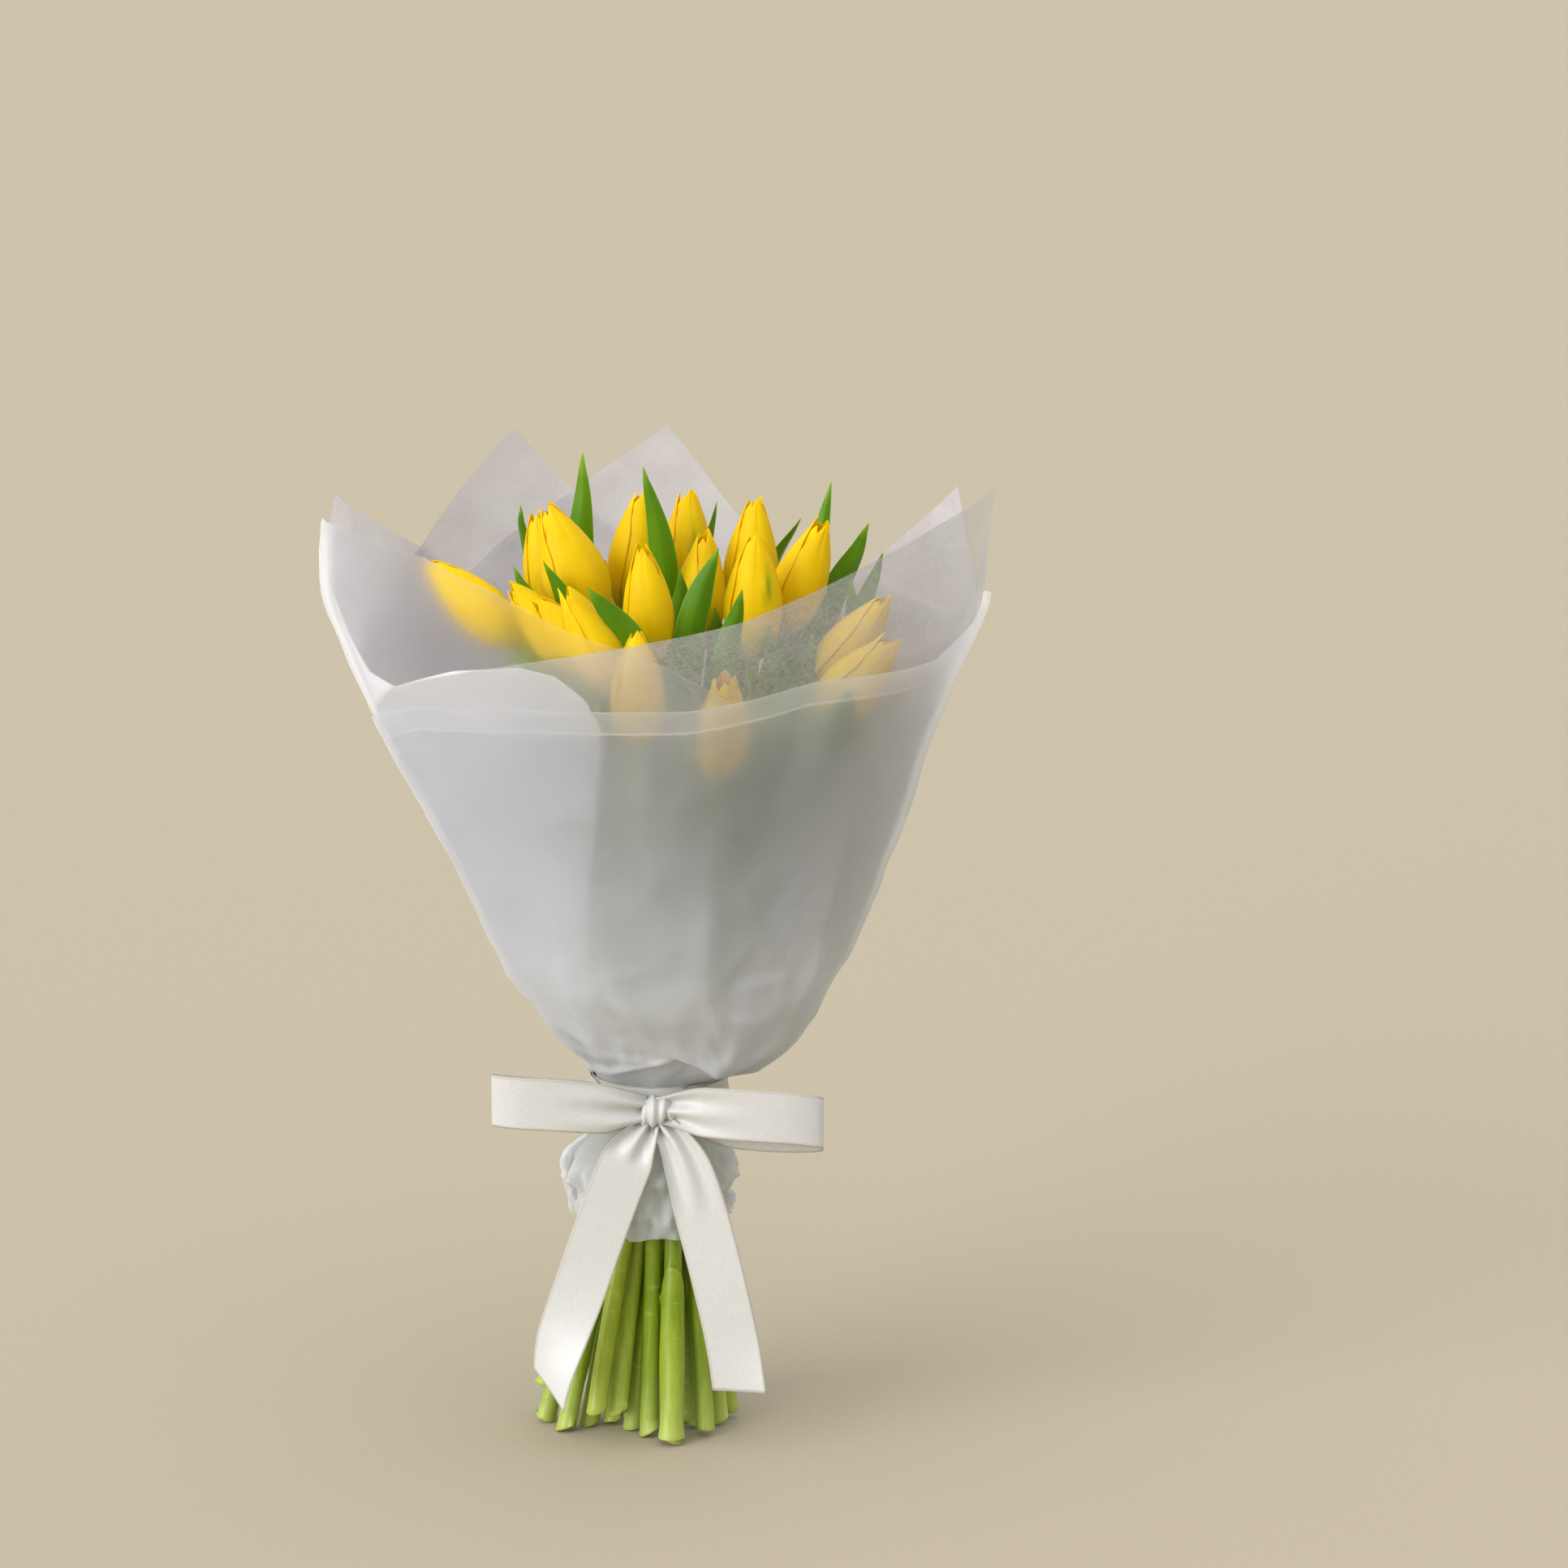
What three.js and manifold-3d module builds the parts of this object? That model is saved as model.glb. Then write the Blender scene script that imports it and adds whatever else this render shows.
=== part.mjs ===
// A bunch of nineteen yellow tulips: stems tied at the neck, rolled in overlapping sheets of
// fibrous tissue and frosted film, and finished with an ivory satin ribbon tied in a bow.
// Millimetres, +Z up. The bow faces -Y. The bunch stands on its cut stem ends at z = 0, and
// its axis passes through the middle of the tie. Azimuths run from the front (-Y) towards +X.
import * as THREE from 'three';
import { mergeVertices } from 'three/addons/utils/BufferGeometryUtils.js';
import Module from 'manifold-3d';

const wasm = await Module();
wasm.setup();

// ---- driving dimensions ------------------------------------------------------------------
const NECK_HEIGHT = 160;      // the tie and the ribbon sit round this height
const STEM_RADIUS = 4.2;      // at the cut end
const STEM_GAP = 0.15;        // between neighbouring stems in the tie
const CLEARANCE = 0.3;        // between pieces that touch
const FINEST_EDGE = 0.02;     // shorter ones, left where petals cross, are merged
const PETAL_THICKNESS = 0.8;
const LEAF_THICKNESS = 0.8;
const SHEET_WALL = 0.6;
const SHEET_PITCH_NECK = 0.9; // from one sheet to the next where the ribbon draws them in
const SHEET_PITCH_TOP = 2.0;  // and where the wrap stands open
const SHEETS = 6;             // layers of the wrap, counted from the inside
const SECTOR = 15;            // degrees between the creases of every sheet
const RIBBON_WIDTH = 25;
const RIBBON_THICKNESS = 0.8;
const BAND_WIDTH = 24;        // the same ribbon where it is drawn round the neck
const KNOT_HALF = { x: 6.2, y: 4.9, z: 7 };
const TIE_WIDTH = 7;
const BUNDLE_RADIUS = 18.2;   // from the axis to the outermost stem's middle, in the tie
const UPRIGHT_BELOW_TIE = 45; // a stem swings into and out of the tie over these lengths
const UPRIGHT_ABOVE_TIE = 60;
const NECK_OF_BLOOM = { longest: 60, perDegree: 1.4, shortest: 14 };  // a stem bends below its bloom
const LEAF_RISE = 22;         // a leaf clasps its stem over this height
const LEAF_FOLD = 0.22;       // how far its edges fold back, as part of its half width
const LEAF_MARGIN = { bloom: 2, stem: 1.4, wrap: 2 };                  // kept free round a leaf

// Outline of the closed wrap from the front: height and half width.
const WRAP_OUTLINE = [[102, 36], [128, 39], [147, 31], [172, 31], [188, 55], [224, 82], [300, 115],
  [400, 158], [470, 159]];
// The wrap's middle against the axis (towards +X), its depth against its width, and how far its
// creases stand in and out, all by height.
const WRAP_SIDE_SHIFT = [[102, -3], [128, -5], [147, 0], [172, 0], [188, 9], [224, 7], [300, 3],
  [350, -2], [400, -2], [470, 4]];
const WRAP_DEPTH_RATIO = [[172, 1], [230, 0.9], [300, 0.82], [460, 0.8]];
const CRUMPLE = [[102, 1], [128, 2.5], [147, 0], [172, 0], [188, 1.6], [224, 1], [300, 0], [470, 0]];
const WRAP_LEVELS = WRAP_OUTLINE.map(([height]) => height);  // rows of every sheet

// Each tulip: tip of the bloom, its lean from upright and the azimuth it leans towards, bloom
// length and width, turn of the petals, and where its cut end stands, with the end's height.
const TULIPS = [
  { tip: [-107, -12, 419], lean: 50, towards: -100, length: 60, width: 24, turn: 10, foot: [-55, -7, 0] },
  { tip: [-68, -31, 412], lean: 40, towards: -88, length: 58, width: 23, turn: 40, foot: [-45, -22, 0] },
  { tip: [-55, -57, 410], lean: 42, towards: -84, length: 56, width: 23, turn: 15, foot: [-20, -28, 9] },
  { tip: [-41, -79, 420], lean: 26, towards: -80, length: 58, width: 24, turn: 50, foot: [-30, -36, 13] },
  { tip: [-51, -6, 445], lean: 20, towards: -90, length: 66, width: 31, turn: 25, foot: [-34, -13, 0] },
  { tip: [-58, 30, 435], lean: 12, towards: -100, length: 58, width: 24, turn: 5, foot: [-56, 12, 11] },
  { tip: [-6, 18, 449], lean: 8, towards: 90, length: 62, width: 25, turn: 35, foot: [-43, 14, 6] },
  { tip: [-23, 61, 408], lean: 6, towards: -120, length: 56, width: 25, turn: 0, foot: [-24, 32, 0] },
  { tip: [-6, -42, 433], lean: 5, towards: -90, length: 60, width: 24, turn: 0, foot: [-13, -19, 0] },
  { tip: [14, 50, 442], lean: 4, towards: 150, length: 60, width: 26, turn: 20, foot: [-2, 38, 0] },
  { tip: [23, 8, 430], lean: 6, towards: 90, length: 60, width: 25, turn: 45, foot: [-23, -11, 0] },
  { tip: [46, 24, 443], lean: 4, towards: 90, length: 62, width: 26, turn: 12, foot: [-5, 6, 0] },
  { tip: [46, -34, 436], lean: 5, towards: 20, length: 62, width: 28, turn: 3, foot: [14, -18, 0] },
  { tip: [78, -6, 438], lean: 21, towards: 93, length: 62, width: 26, turn: 20, foot: [33, -1, 3] },
  { tip: [86, 32, 407], lean: 26, towards: 100, length: 58, width: 24, turn: 50, foot: [20, 27, 0] },
  { tip: [-7, -102, 404], lean: 12, towards: 0, length: 58, width: 25, turn: 2, foot: [-5, -30, 0] },
  { tip: [33, -95, 383], lean: 14, towards: 15, length: 56, width: 26, turn: 58, foot: [6, -42, 0] },
  { tip: [111, -62, 393], lean: 42, towards: 75, length: 58, width: 26, turn: 20, foot: [22, -29, 2] },
  { tip: [108, -18, 404], lean: 38, towards: 92, length: 58, width: 24, turn: 33, foot: [28, -12, 1] },
];

// Each leaf: the tulip it grows on, the height where it leaves the stem, a point it bends
// through, its tip and its greatest width.
const LEAVES = [
  { tulip: 1, root: 290, bend: [-58, 12, 372], tip: [-76, 16, 388], width: 14 },
  { tulip: 2, root: 280, bend: [-54, -14, 392], tip: [-68, -13, 415], width: 12 },
  { tulip: 3, root: 285, bend: [-42, -84, 372], tip: [-62, -88, 385], width: 14 },
  { tulip: 4, root: 325, bend: [-8, -80, 386], tip: [-29, -88, 421], width: 18 },
  { tulip: 5, root: 290, bend: [-40, -28, 394], tip: [-51, -30, 422], width: 12 },
  { tulip: 6, root: 290, bend: [-66, 22, 402], tip: [-68, 18, 438], width: 12 },
  { tulip: 7, root: 290, bend: [8, -8, 404], tip: [-4, -9, 461], width: 16 },
  { tulip: 8, root: 300, bend: [-38, 50, 400], tip: [-34, 52, 457], width: 14 },
  { tulip: 9, root: 280, bend: [17, -48, 394], tip: [28, -46, 431], width: 15 },
  { tulip: 10, root: 300, bend: [24, 34, 410], tip: [28, 36, 438], width: 12 },
  { tulip: 11, root: 285, bend: [10, -16, 388], tip: [13, -18, 415], width: 12 },
  { tulip: 12, root: 300, bend: [51, 51, 396], tip: [67, 46, 428], width: 12 },
  { tulip: 13, root: 285, bend: [34, -74, 388], tip: [41, -76, 417], width: 13 },
  { tulip: 14, root: 280, bend: [84, 6, 398], tip: [100, 6, 430], width: 13 },
  { tulip: 15, root: 270, bend: [71, 8, 398], tip: [80, 15, 451], width: 14 },
  { tulip: 16, root: 270, bend: [13, -78, 328], tip: [12, -94, 362], width: 16 },
  { tulip: 17, root: 265, bend: [52, -84, 350], tip: [64, -92, 376], width: 18 },
  { tulip: 18, root: 270, bend: [84, -74, 356], tip: [96, -84, 372], width: 18 },
  { tulip: 19, root: 275, bend: [96, 10, 390], tip: [106, 20, 416], width: 12 },
];

// Radius of a closed bloom along its axis, as parts of its length and of half its width.
const BLOOM_OUTLINE = [[0, 0.2], [0.1, 0.55], [0.25, 0.9], [0.42, 1], [0.6, 0.92], [0.8, 0.64], [1, 0.14]];
const LEAF_OUTLINE = [[0, 0.3], [0.2, 0.62], [0.5, 1], [0.75, 0.8], [0.9, 0.42], [1, 0.06]];

// Top edge of each sheet as azimuth and height, in layers from the inside out.
const SHEET_EDGES = [
  { name: 'tissue_back_right', layer: 0, edge: [[105, 384], [125, 388], [136, 394], [150, 380], [168, 426],
    [180, 461], [198, 427], [216, 396], [240, 366]] },
  { name: 'tissue_back_left', layer: 1, edge: [[165, 356], [175, 378], [187, 407], [197, 431], [209, 461],
    [228, 410], [240, 388], [270, 370]] },
  { name: 'tissue_wing_left', layer: 2, edge: [[210, 376], [228, 408], [247, 430], [264, 446], [275, 426],
    [285, 406]] },
  { name: 'tissue_wing_right', layer: 2, edge: [[90, 386], [100, 405], [109, 426], [114, 443], [126, 420],
    [136, 401], [150, 370]] },
  { name: 'tissue_front', layer: 3, edge: [[-75, 352], [-60, 368], [-33, 384], [-6, 398], [16, 409],
    [29, 420], [43, 433], [58, 445], [76, 452], [88, 453], [96, 425], [105, 384]] },
  { name: 'film_left', layer: 4, edge: [[-120, 398], [-100, 422], [-84, 439], [-71, 440], [-43, 434],
    [-27, 421], [-13, 405], [0, 394], [7, 384], [15, 372], [30, 352], [45, 332]] },
  { name: 'film_front', layer: 5, edge: [[-75, 342], [-55, 359], [-23, 367], [7, 368], [19, 372], [33, 378],
    [67, 378], [77, 391], [88, 402], [105, 396]] },
];

// ---- materials -----------------------------------------------------------------------------
const finish = (color, roughness) => new THREE.MeshStandardMaterial({ color, roughness, metalness: 0 });
const petalYellow = finish('#f6cf00', 0.5);
const leafGreen = finish('#4c8f1e', 0.55);
const tissueWhite = finish('#d8d0cf', 0.8);
const filmWhite = finish('#d2d3d4', 0.5);
const satinIvory = finish('#efece4', 0.4);
const rubberTan = finish('#b9a27a', 0.7);

const bunch = new THREE.Group();
bunch.name = 'bunch_of_tulips';

function addPiece(name, geometry, material) {
  const mesh = new THREE.Mesh(geometry, material);
  mesh.name = name;
  bunch.add(mesh);
}

// ---- small tools -----------------------------------------------------------------------------
const radians = THREE.MathUtils.degToRad;
const vector = (list) => new THREE.Vector3(...list);

function along(points, at) {
  const next = points.findIndex(([station]) => station >= at);
  if (next === 0) return points[0][1];
  if (next < 0) return points[points.length - 1][1];
  const [[from, low], [to, high]] = [points[next - 1], points[next]];
  return THREE.MathUtils.lerp(low, high, (at - from) / (to - from));
}

// A closed body between two grids of points, rows by columns, triangulated alike.
function slab(outer, inner) {
  const rows = outer.length;
  const columns = outer[0].length;
  const vertices = [...outer.flat(), ...inner.flat()].flatMap((point) => point.toArray());
  const at = (side, row, column) => (side * rows + row) * columns + column;
  const triangles = [];
  const quad = (a, b, c, d) => triangles.push(a, b, c, a, c, d);
  for (let row = 0; row < rows - 1; row += 1) {
    for (let column = 0; column < columns - 1; column += 1) {
      const corners = (side) => [at(side, row, column), at(side, row, column + 1),
        at(side, row + 1, column + 1), at(side, row + 1, column)];
      const [a, b, c, d] = corners(0);
      const [e, f, g, h] = corners(1);
      quad(a, b, c, d);
      triangles.push(e, g, f, e, h, g);
    }
  }
  const rim = [];
  for (let column = 0; column < columns - 1; column += 1) rim.push([0, column]);
  for (let row = 0; row < rows - 1; row += 1) rim.push([row, columns - 1]);
  for (let column = columns - 1; column > 0; column -= 1) rim.push([rows - 1, column]);
  for (let row = rows - 1; row > 0; row -= 1) rim.push([row, 0]);
  rim.forEach(([row, column], index) => {
    const [nextRow, nextColumn] = rim[(index + 1) % rim.length];
    quad(at(0, nextRow, nextColumn), at(0, row, column), at(1, row, column), at(1, nextRow, nextColumn));
  });
  const geometry = new THREE.BufferGeometry();
  geometry.setAttribute('position', new THREE.Float32BufferAttribute(vertices, 3));
  geometry.setIndex(triangles);
  if (signedVolume(geometry) < 0) {
    for (let i = 0; i < triangles.length; i += 3) {
      [triangles[i + 1], triangles[i + 2]] = [triangles[i + 2], triangles[i + 1]];
    }
    geometry.setIndex(triangles);
  }
  return geometry;
}

function signedVolume(geometry) {
  const position = geometry.getAttribute('position');
  const index = geometry.getIndex();
  const corner = (i) => new THREE.Vector3().fromBufferAttribute(position, index.getX(i));
  let total = 0;
  for (let i = 0; i < index.count; i += 3) {
    total += corner(i).dot(corner(i + 1).cross(corner(i + 2)));
  }
  return total;
}

// A blade of even thickness about a grid of middle points.
function blade(grid, thickness) {
  const rows = grid.length - 1;
  const columns = grid[0].length - 1;
  const offset = (sign) => grid.map((line, row) => line.map((point, column) => {
    const up = grid[Math.min(row + 1, rows)][column].clone().sub(grid[Math.max(row - 1, 0)][column]);
    const across = line[Math.min(column + 1, columns)].clone().sub(line[Math.max(column - 1, 0)]);
    const normal = across.cross(up).normalize();
    return point.clone().addScaledVector(normal, sign * thickness / 2);
  }));
  return slab(offset(1), offset(-1));
}

function toSolid(geometry) {
  const bare = geometry.clone();
  bare.deleteAttribute('normal');
  bare.deleteAttribute('uv');
  const merged = mergeVertices(bare, 1e-4);
  const mesh = new wasm.Mesh({
    numProp: 3,
    vertProperties: new Float32Array(merged.getAttribute('position').array),
    triVerts: new Uint32Array(merged.getIndex().array),
  });
  return new wasm.Manifold(mesh);
}

function toGeometry(solid) {
  const mesh = solid.simplify(FINEST_EDGE).getMesh();
  const geometry = new THREE.BufferGeometry();
  geometry.setAttribute('position', new THREE.Float32BufferAttribute(mesh.vertProperties, 3));
  geometry.setIndex(Array.from(mesh.triVerts));
  return geometry;
}

const fuse = (geometries) => toGeometry(geometries.map(toSolid).reduce((whole, next) => whole.add(next)));

// ---- where each tulip goes -----------------------------------------------------------------
for (const tulip of TULIPS) {
  const lean = radians(tulip.lean);
  const towards = radians(tulip.towards);
  tulip.axis = new THREE.Vector3(Math.sin(lean) * Math.sin(towards), -Math.sin(lean) * Math.cos(towards),
    Math.cos(lean));
  tulip.base = vector(tulip.tip).addScaledVector(tulip.axis, -tulip.length);
}

// Places of the stems in the tie: the layout of blooms and feet drawn together, then pushed
// apart until no two stems touch.
function neckPlaces() {
  const drawIn = 0.25;
  const spacing = 2 * STEM_RADIUS + STEM_GAP;
  const passes = 600;
  const squeezedPasses = 500;
  const places = TULIPS.map(({ base, foot }) => new THREE.Vector2(
    drawIn * (base.x + foot[0]), drawIn * (base.y + foot[1])));
  for (let pass = 0; pass < passes; pass += 1) {
    const sum = places.reduce((total, place) => total.add(place), new THREE.Vector2());
    const middle = sum.divideScalar(places.length);
    const squeeze = pass < squeezedPasses ? 0.985 : 1;
    places.forEach((place) => place.sub(middle).multiplyScalar(squeeze));
    places.forEach((place, i) => places.slice(i + 1).forEach((other) => {
      const apart = other.clone().sub(place);
      const lack = spacing - apart.length();
      if (lack > 0) {
        apart.setLength(lack / 2 + 0.001);
        place.sub(apart);
        other.add(apart);
      }
    }));
  }
  return places;
}

const NECK = neckPlaces();
const reach = Math.max(...NECK.map((place) => place.length()));
if (reach > BUNDLE_RADIUS) throw new Error(`the stems need a tie of radius ${reach.toFixed(2)}`);

const STEM_TOP = 1;  // the stem ends this far inside its bloom's lower end

// The line a stem follows: up from its cut end, upright through the tie, then out to its bloom.
function stemLine(tulip, index) {
  const foot = vector(tulip.foot);
  const neck = new THREE.Vector3(NECK[index].x, NECK[index].y, NECK_HEIGHT);
  const start = foot.clone().lerp(neck, -2 * STEM_RADIUS / NECK_HEIGHT);
  const { longest, perDegree, shortest } = NECK_OF_BLOOM;
  const bow = Math.max(shortest, longest - perDegree * tulip.lean);
  const line = new THREE.CurvePath();
  line.add(new THREE.CubicBezierCurve3(start, foot.clone().lerp(neck, 0.45),
    neck.clone().setZ(NECK_HEIGHT - UPRIGHT_BELOW_TIE), neck));
  line.add(new THREE.CubicBezierCurve3(neck, neck.clone().setZ(NECK_HEIGHT + UPRIGHT_ABOVE_TIE),
    tulip.base.clone().addScaledVector(tulip.axis, -bow),
    tulip.base.clone().addScaledVector(tulip.axis, STEM_TOP)));
  return line;
}
TULIPS.forEach((tulip, index) => { tulip.line = stemLine(tulip, index); });

function stemPoint(tulip, height) {
  const [lower, upper] = tulip.line.curves;
  const part = height < NECK_HEIGHT ? lower : upper;
  let [low, high] = [0, 1];
  for (let step = 0; step < 30; step += 1) {
    const middle = (low + high) / 2;
    if (part.getPoint(middle).z < height) low = middle;
    else high = middle;
  }
  return part.getPoint((low + high) / 2);
}

// ---- blooms: a whorl of three outer and three inner petals on the end of the stem -------------
function bloomFrame(tulip) {
  const front = new THREE.Vector3(0, -1, 0);
  const right = front.clone().cross(tulip.axis).negate().normalize();
  const toViewer = tulip.axis.clone().cross(right).negate().normalize();
  return { right, toViewer };
}

function bloomPoint(tulip, azimuth, part, scale) {
  const { right, toViewer } = bloomFrame(tulip);
  const radius = scale * along(BLOOM_OUTLINE, part) * tulip.width / 2;
  return tulip.base.clone().addScaledVector(tulip.axis, part * tulip.length)
    .addScaledVector(right, radius * Math.sin(azimuth))
    .addScaledVector(toViewer, radius * Math.cos(azimuth));
}

// A petal narrows at its tip, where its edges end lower than its middle.
function petal(tulip, azimuth, { scale, halfWidth, stations }) {
  const tipStation = stations[stations.length - 1];
  const grid = stations.map((station) => [-1, 0, 1].map((across) => {
    const spread = halfWidth * (station === tipStation ? 0.6 : 1);
    const lower = 1 - 0.1 * Math.abs(across) * station;
    return bloomPoint(tulip, radians(azimuth + across * spread), station * lower, scale);
  }));
  return blade(grid, PETAL_THICKNESS);
}

// Half widths in degrees round the bloom; stations from its lower end to its tip.
const OUTER_PETAL = { scale: 0.97, halfWidth: 56, stations: [0.05, 0.24, 0.48, 0.76, 1] };
const INNER_PETAL = { scale: 0.7, halfWidth: 48, stations: [0.05, 0.3, 0.62, 0.88] };
const SEAT_HEIGHT = 4.2;

// The petals join in a small seat, which sits on the end of the stem.
function bloom(tulip) {
  const seatRadius = 0.3 * tulip.width;
  const seat = new THREE.LatheGeometry(
    [[0, 0], [0.6 * seatRadius, 0], [seatRadius, SEAT_HEIGHT], [0, SEAT_HEIGHT]]
      .map(([radius, height]) => new THREE.Vector2(radius, height)), 6);
  seat.rotateX(Math.PI / 2);
  seat.applyQuaternion(new THREE.Quaternion().setFromUnitVectors(new THREE.Vector3(0, 0, 1), tulip.axis));
  seat.translate(...tulip.base.clone().addScaledVector(tulip.axis, STEM_TOP + CLEARANCE).toArray());
  const petals = [0, 120, 240].flatMap((place) => [
    petal(tulip, tulip.turn + place, OUTER_PETAL),
    petal(tulip, tulip.turn + place + 60, INNER_PETAL),
  ]);
  return fuse([seat, ...petals]);
}

// ---- leafy stems -----------------------------------------------------------------------------
function nearestOnBloom(point, tulip) {
  const part = THREE.MathUtils.clamp(point.clone().sub(tulip.base).dot(tulip.axis) / tulip.length, 0, 1);
  const centre = tulip.base.clone().addScaledVector(tulip.axis, part * tulip.length);
  return { centre, keep: along(BLOOM_OUTLINE, part) * tulip.width / 2 + LEAF_MARGIN.bloom };
}

// Moves a point of a leaf out of the blooms and the other stems, and inside the wrap.
function bendClear(point, owner) {
  const moved = point.clone();
  for (let pass = 0; pass < 8; pass += 1) {
    for (const tulip of TULIPS) {
      const stem = {
        centre: stemPoint(tulip, Math.min(moved.z, tulip.base.z)), keep: STEM_RADIUS + LEAF_MARGIN.stem,
      };
      const guards = [nearestOnBloom(moved, tulip)];
      if (tulip !== owner && moved.z < tulip.base.z + STEM_RADIUS) guards.push(stem);
      for (const { centre, keep } of guards) {
        const away = moved.clone().sub(centre);
        if (away.length() < keep) moved.copy(centre).add(away.setLength(keep));
      }
    }
  }
  const limit = wrapPoint(azimuthOf(moved), moved.z, 0, SHEET_WALL + LEAF_MARGIN.wrap);
  const room = Math.hypot(limit.x, limit.y) / Math.hypot(moved.x, moved.y);
  if (room < 1) moved.set(moved.x * room, moved.y * room, moved.z);
  return moved;
}

function leaf({ tulip: number, root, bend, tip, width }) {
  const tulip = TULIPS[number - 1];
  const start = stemPoint(tulip, root);
  const rise = stemPoint(tulip, root + LEAF_RISE);
  const out = vector(bend).sub(rise).setZ(0).normalize();
  const line = new THREE.CatmullRomCurve3([start, rise.addScaledVector(out, STEM_RADIUS + LEAF_MARGIN.stem),
    vector(bend), vector(tip)], false, 'centripetal');
  const stations = [0, 0.18, 0.4, 0.62, 0.84, 1];
  const grid = stations.map((station) => {
    const centre = line.getPoint(station);
    const side = line.getTangent(station).cross(out).normalize();
    const half = along(LEAF_OUTLINE, station) * width / 2;
    return [-1, 0, 1].map((across) => {
      const point = centre.clone().addScaledVector(side, across * half)
        .addScaledVector(out, -LEAF_FOLD * half * Math.abs(across));
      return station > 0.2 ? bendClear(point, tulip) : point;
    });
  });
  return blade(grid, LEAF_THICKNESS);
}

function stem(tulip) {
  const sides = 6;
  const section = new THREE.Shape(Array.from({ length: sides }, (_, i) => new THREE.Vector2(
    STEM_RADIUS * Math.cos(2 * Math.PI * (i + 0.25) / sides),
    STEM_RADIUS * Math.sin(2 * Math.PI * (i + 0.25) / sides))));
  const tube = new THREE.ExtrudeGeometry(section,
    { extrudePath: tulip.line, steps: 10, bevelEnabled: false });
  return toGeometry(toSolid(tube).trimByPlane([0, 0, 1], tulip.foot[2]));
}

TULIPS.forEach((tulip, index) => {
  const number = String(index + 1).padStart(2, '0');
  addPiece(`tulip_bloom_${number}`, bloom(tulip), petalYellow);
  const leaves = LEAVES.filter((row) => row.tulip === index + 1).map(leaf);
  addPiece(`tulip_stem_${number}`, fuse([stem(tulip), ...leaves]), leafGreen);
});

// ---- the tie round the stems -------------------------------------------------------------------
function ring(inner, outer, low, high, material, name) {
  const outline = [[inner, low], [outer, low], [outer, high], [inner, high], [inner, low]]
    .map(([radius, height]) => new THREE.Vector2(radius, height));
  const geometry = new THREE.LatheGeometry(outline, 360 / SECTOR);
  geometry.rotateX(Math.PI / 2);
  addPiece(name, toGeometry(toSolid(geometry)), material);
}
const tieInner = BUNDLE_RADIUS + STEM_RADIUS + CLEARANCE;
const tieOuter = along(WRAP_OUTLINE, NECK_HEIGHT) - (SHEETS - 1) * SHEET_PITCH_NECK - SHEET_WALL - CLEARANCE;
ring(tieInner, tieOuter, NECK_HEIGHT - TIE_WIDTH / 2, NECK_HEIGHT + TIE_WIDTH / 2, rubberTan, 'stem_tie');

// ---- the wrap ------------------------------------------------------------------------------------
function azimuthOf(point) {
  const ratio = along(WRAP_DEPTH_RATIO, point.z);
  const shift = along(WRAP_SIDE_SHIFT, point.z);
  return THREE.MathUtils.radToDeg(Math.atan2(point.x - shift, -point.y / ratio));
}

// A point of a sheet: azimuth in degrees, height, layer and depth below the layer's outside.
function wrapPoint(azimuth, height, layer, depth) {
  const pitch = along([[172, SHEET_PITCH_NECK], [300, SHEET_PITCH_TOP]], height);
  const inset = (SHEETS - 1 - layer) * pitch + depth;
  const crease = (sector) => {
    const waviness = along(CRUMPLE, height) * (sector % 2 === 0 ? 1 : -1);
    const radius = along(WRAP_OUTLINE, height) - inset + waviness;
    const angle = radians(sector * SECTOR);
    return new THREE.Vector3(along(WRAP_SIDE_SHIFT, height) + radius * Math.sin(angle),
      -radius * along(WRAP_DEPTH_RATIO, height) * Math.cos(angle), height);
  };
  const sector = Math.floor(azimuth / SECTOR + 1e-6);
  return crease(sector).lerp(crease(sector + 1), azimuth / SECTOR - sector);
}

// A sheet reaches from hem to above its top edge on creases that all sheets share, so the
// layers never cross, and is then cut along its top edge.
function sheet({ layer, edge }) {
  const first = edge[0][0];
  const last = edge[edge.length - 1][0];
  const inside = (azimuth) => azimuth > first && azimuth < last;
  const creases = Array.from({ length: 36 }, (_, i) => (i - 12) * SECTOR).filter(inside);
  const shell = (azimuths, levels, depth, spread) => levels.map((level) => azimuths.map((azimuth) => {
    const height = level === 'edge' ? along(edge, azimuth) : level;
    return wrapPoint(azimuth, height, layer, depth).multiply(new THREE.Vector3(spread, spread, 1));
  }));
  const columns = [first, ...creases, last];
  const whole = slab(shell(columns, WRAP_LEVELS, 0, 1), shell(columns, WRAP_LEVELS, SHEET_WALL, 1));
  const corners = edge.map(([azimuth]) => azimuth).filter(inside);
  const cutColumns = [first - 1, ...new Set([...creases, ...corners]), last + 1].sort((c, d) => c - d);
  const above = ['edge', WRAP_LEVELS[WRAP_LEVELS.length - 1] + 10];
  const waste = slab(shell(cutColumns, above, 0, 1.15), shell(cutColumns, above, 0, 0.85));
  return toGeometry(toSolid(whole).subtract(toSolid(waste)));
}

for (const row of SHEET_EDGES) {
  addPiece(row.name, sheet(row), row.name.startsWith('film') ? filmWhite : tissueWhite);
}

// ---- the ribbon ------------------------------------------------------------------------------------
const bandInner = along(WRAP_OUTLINE, NECK_HEIGHT) + CLEARANCE;
const bandOuter = bandInner + RIBBON_THICKNESS;
ring(bandInner, bandOuter, NECK_HEIGHT - BAND_WIDTH / 2, NECK_HEIGHT + BAND_WIDTH / 2, satinIvory,
  'ribbon_band');

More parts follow.
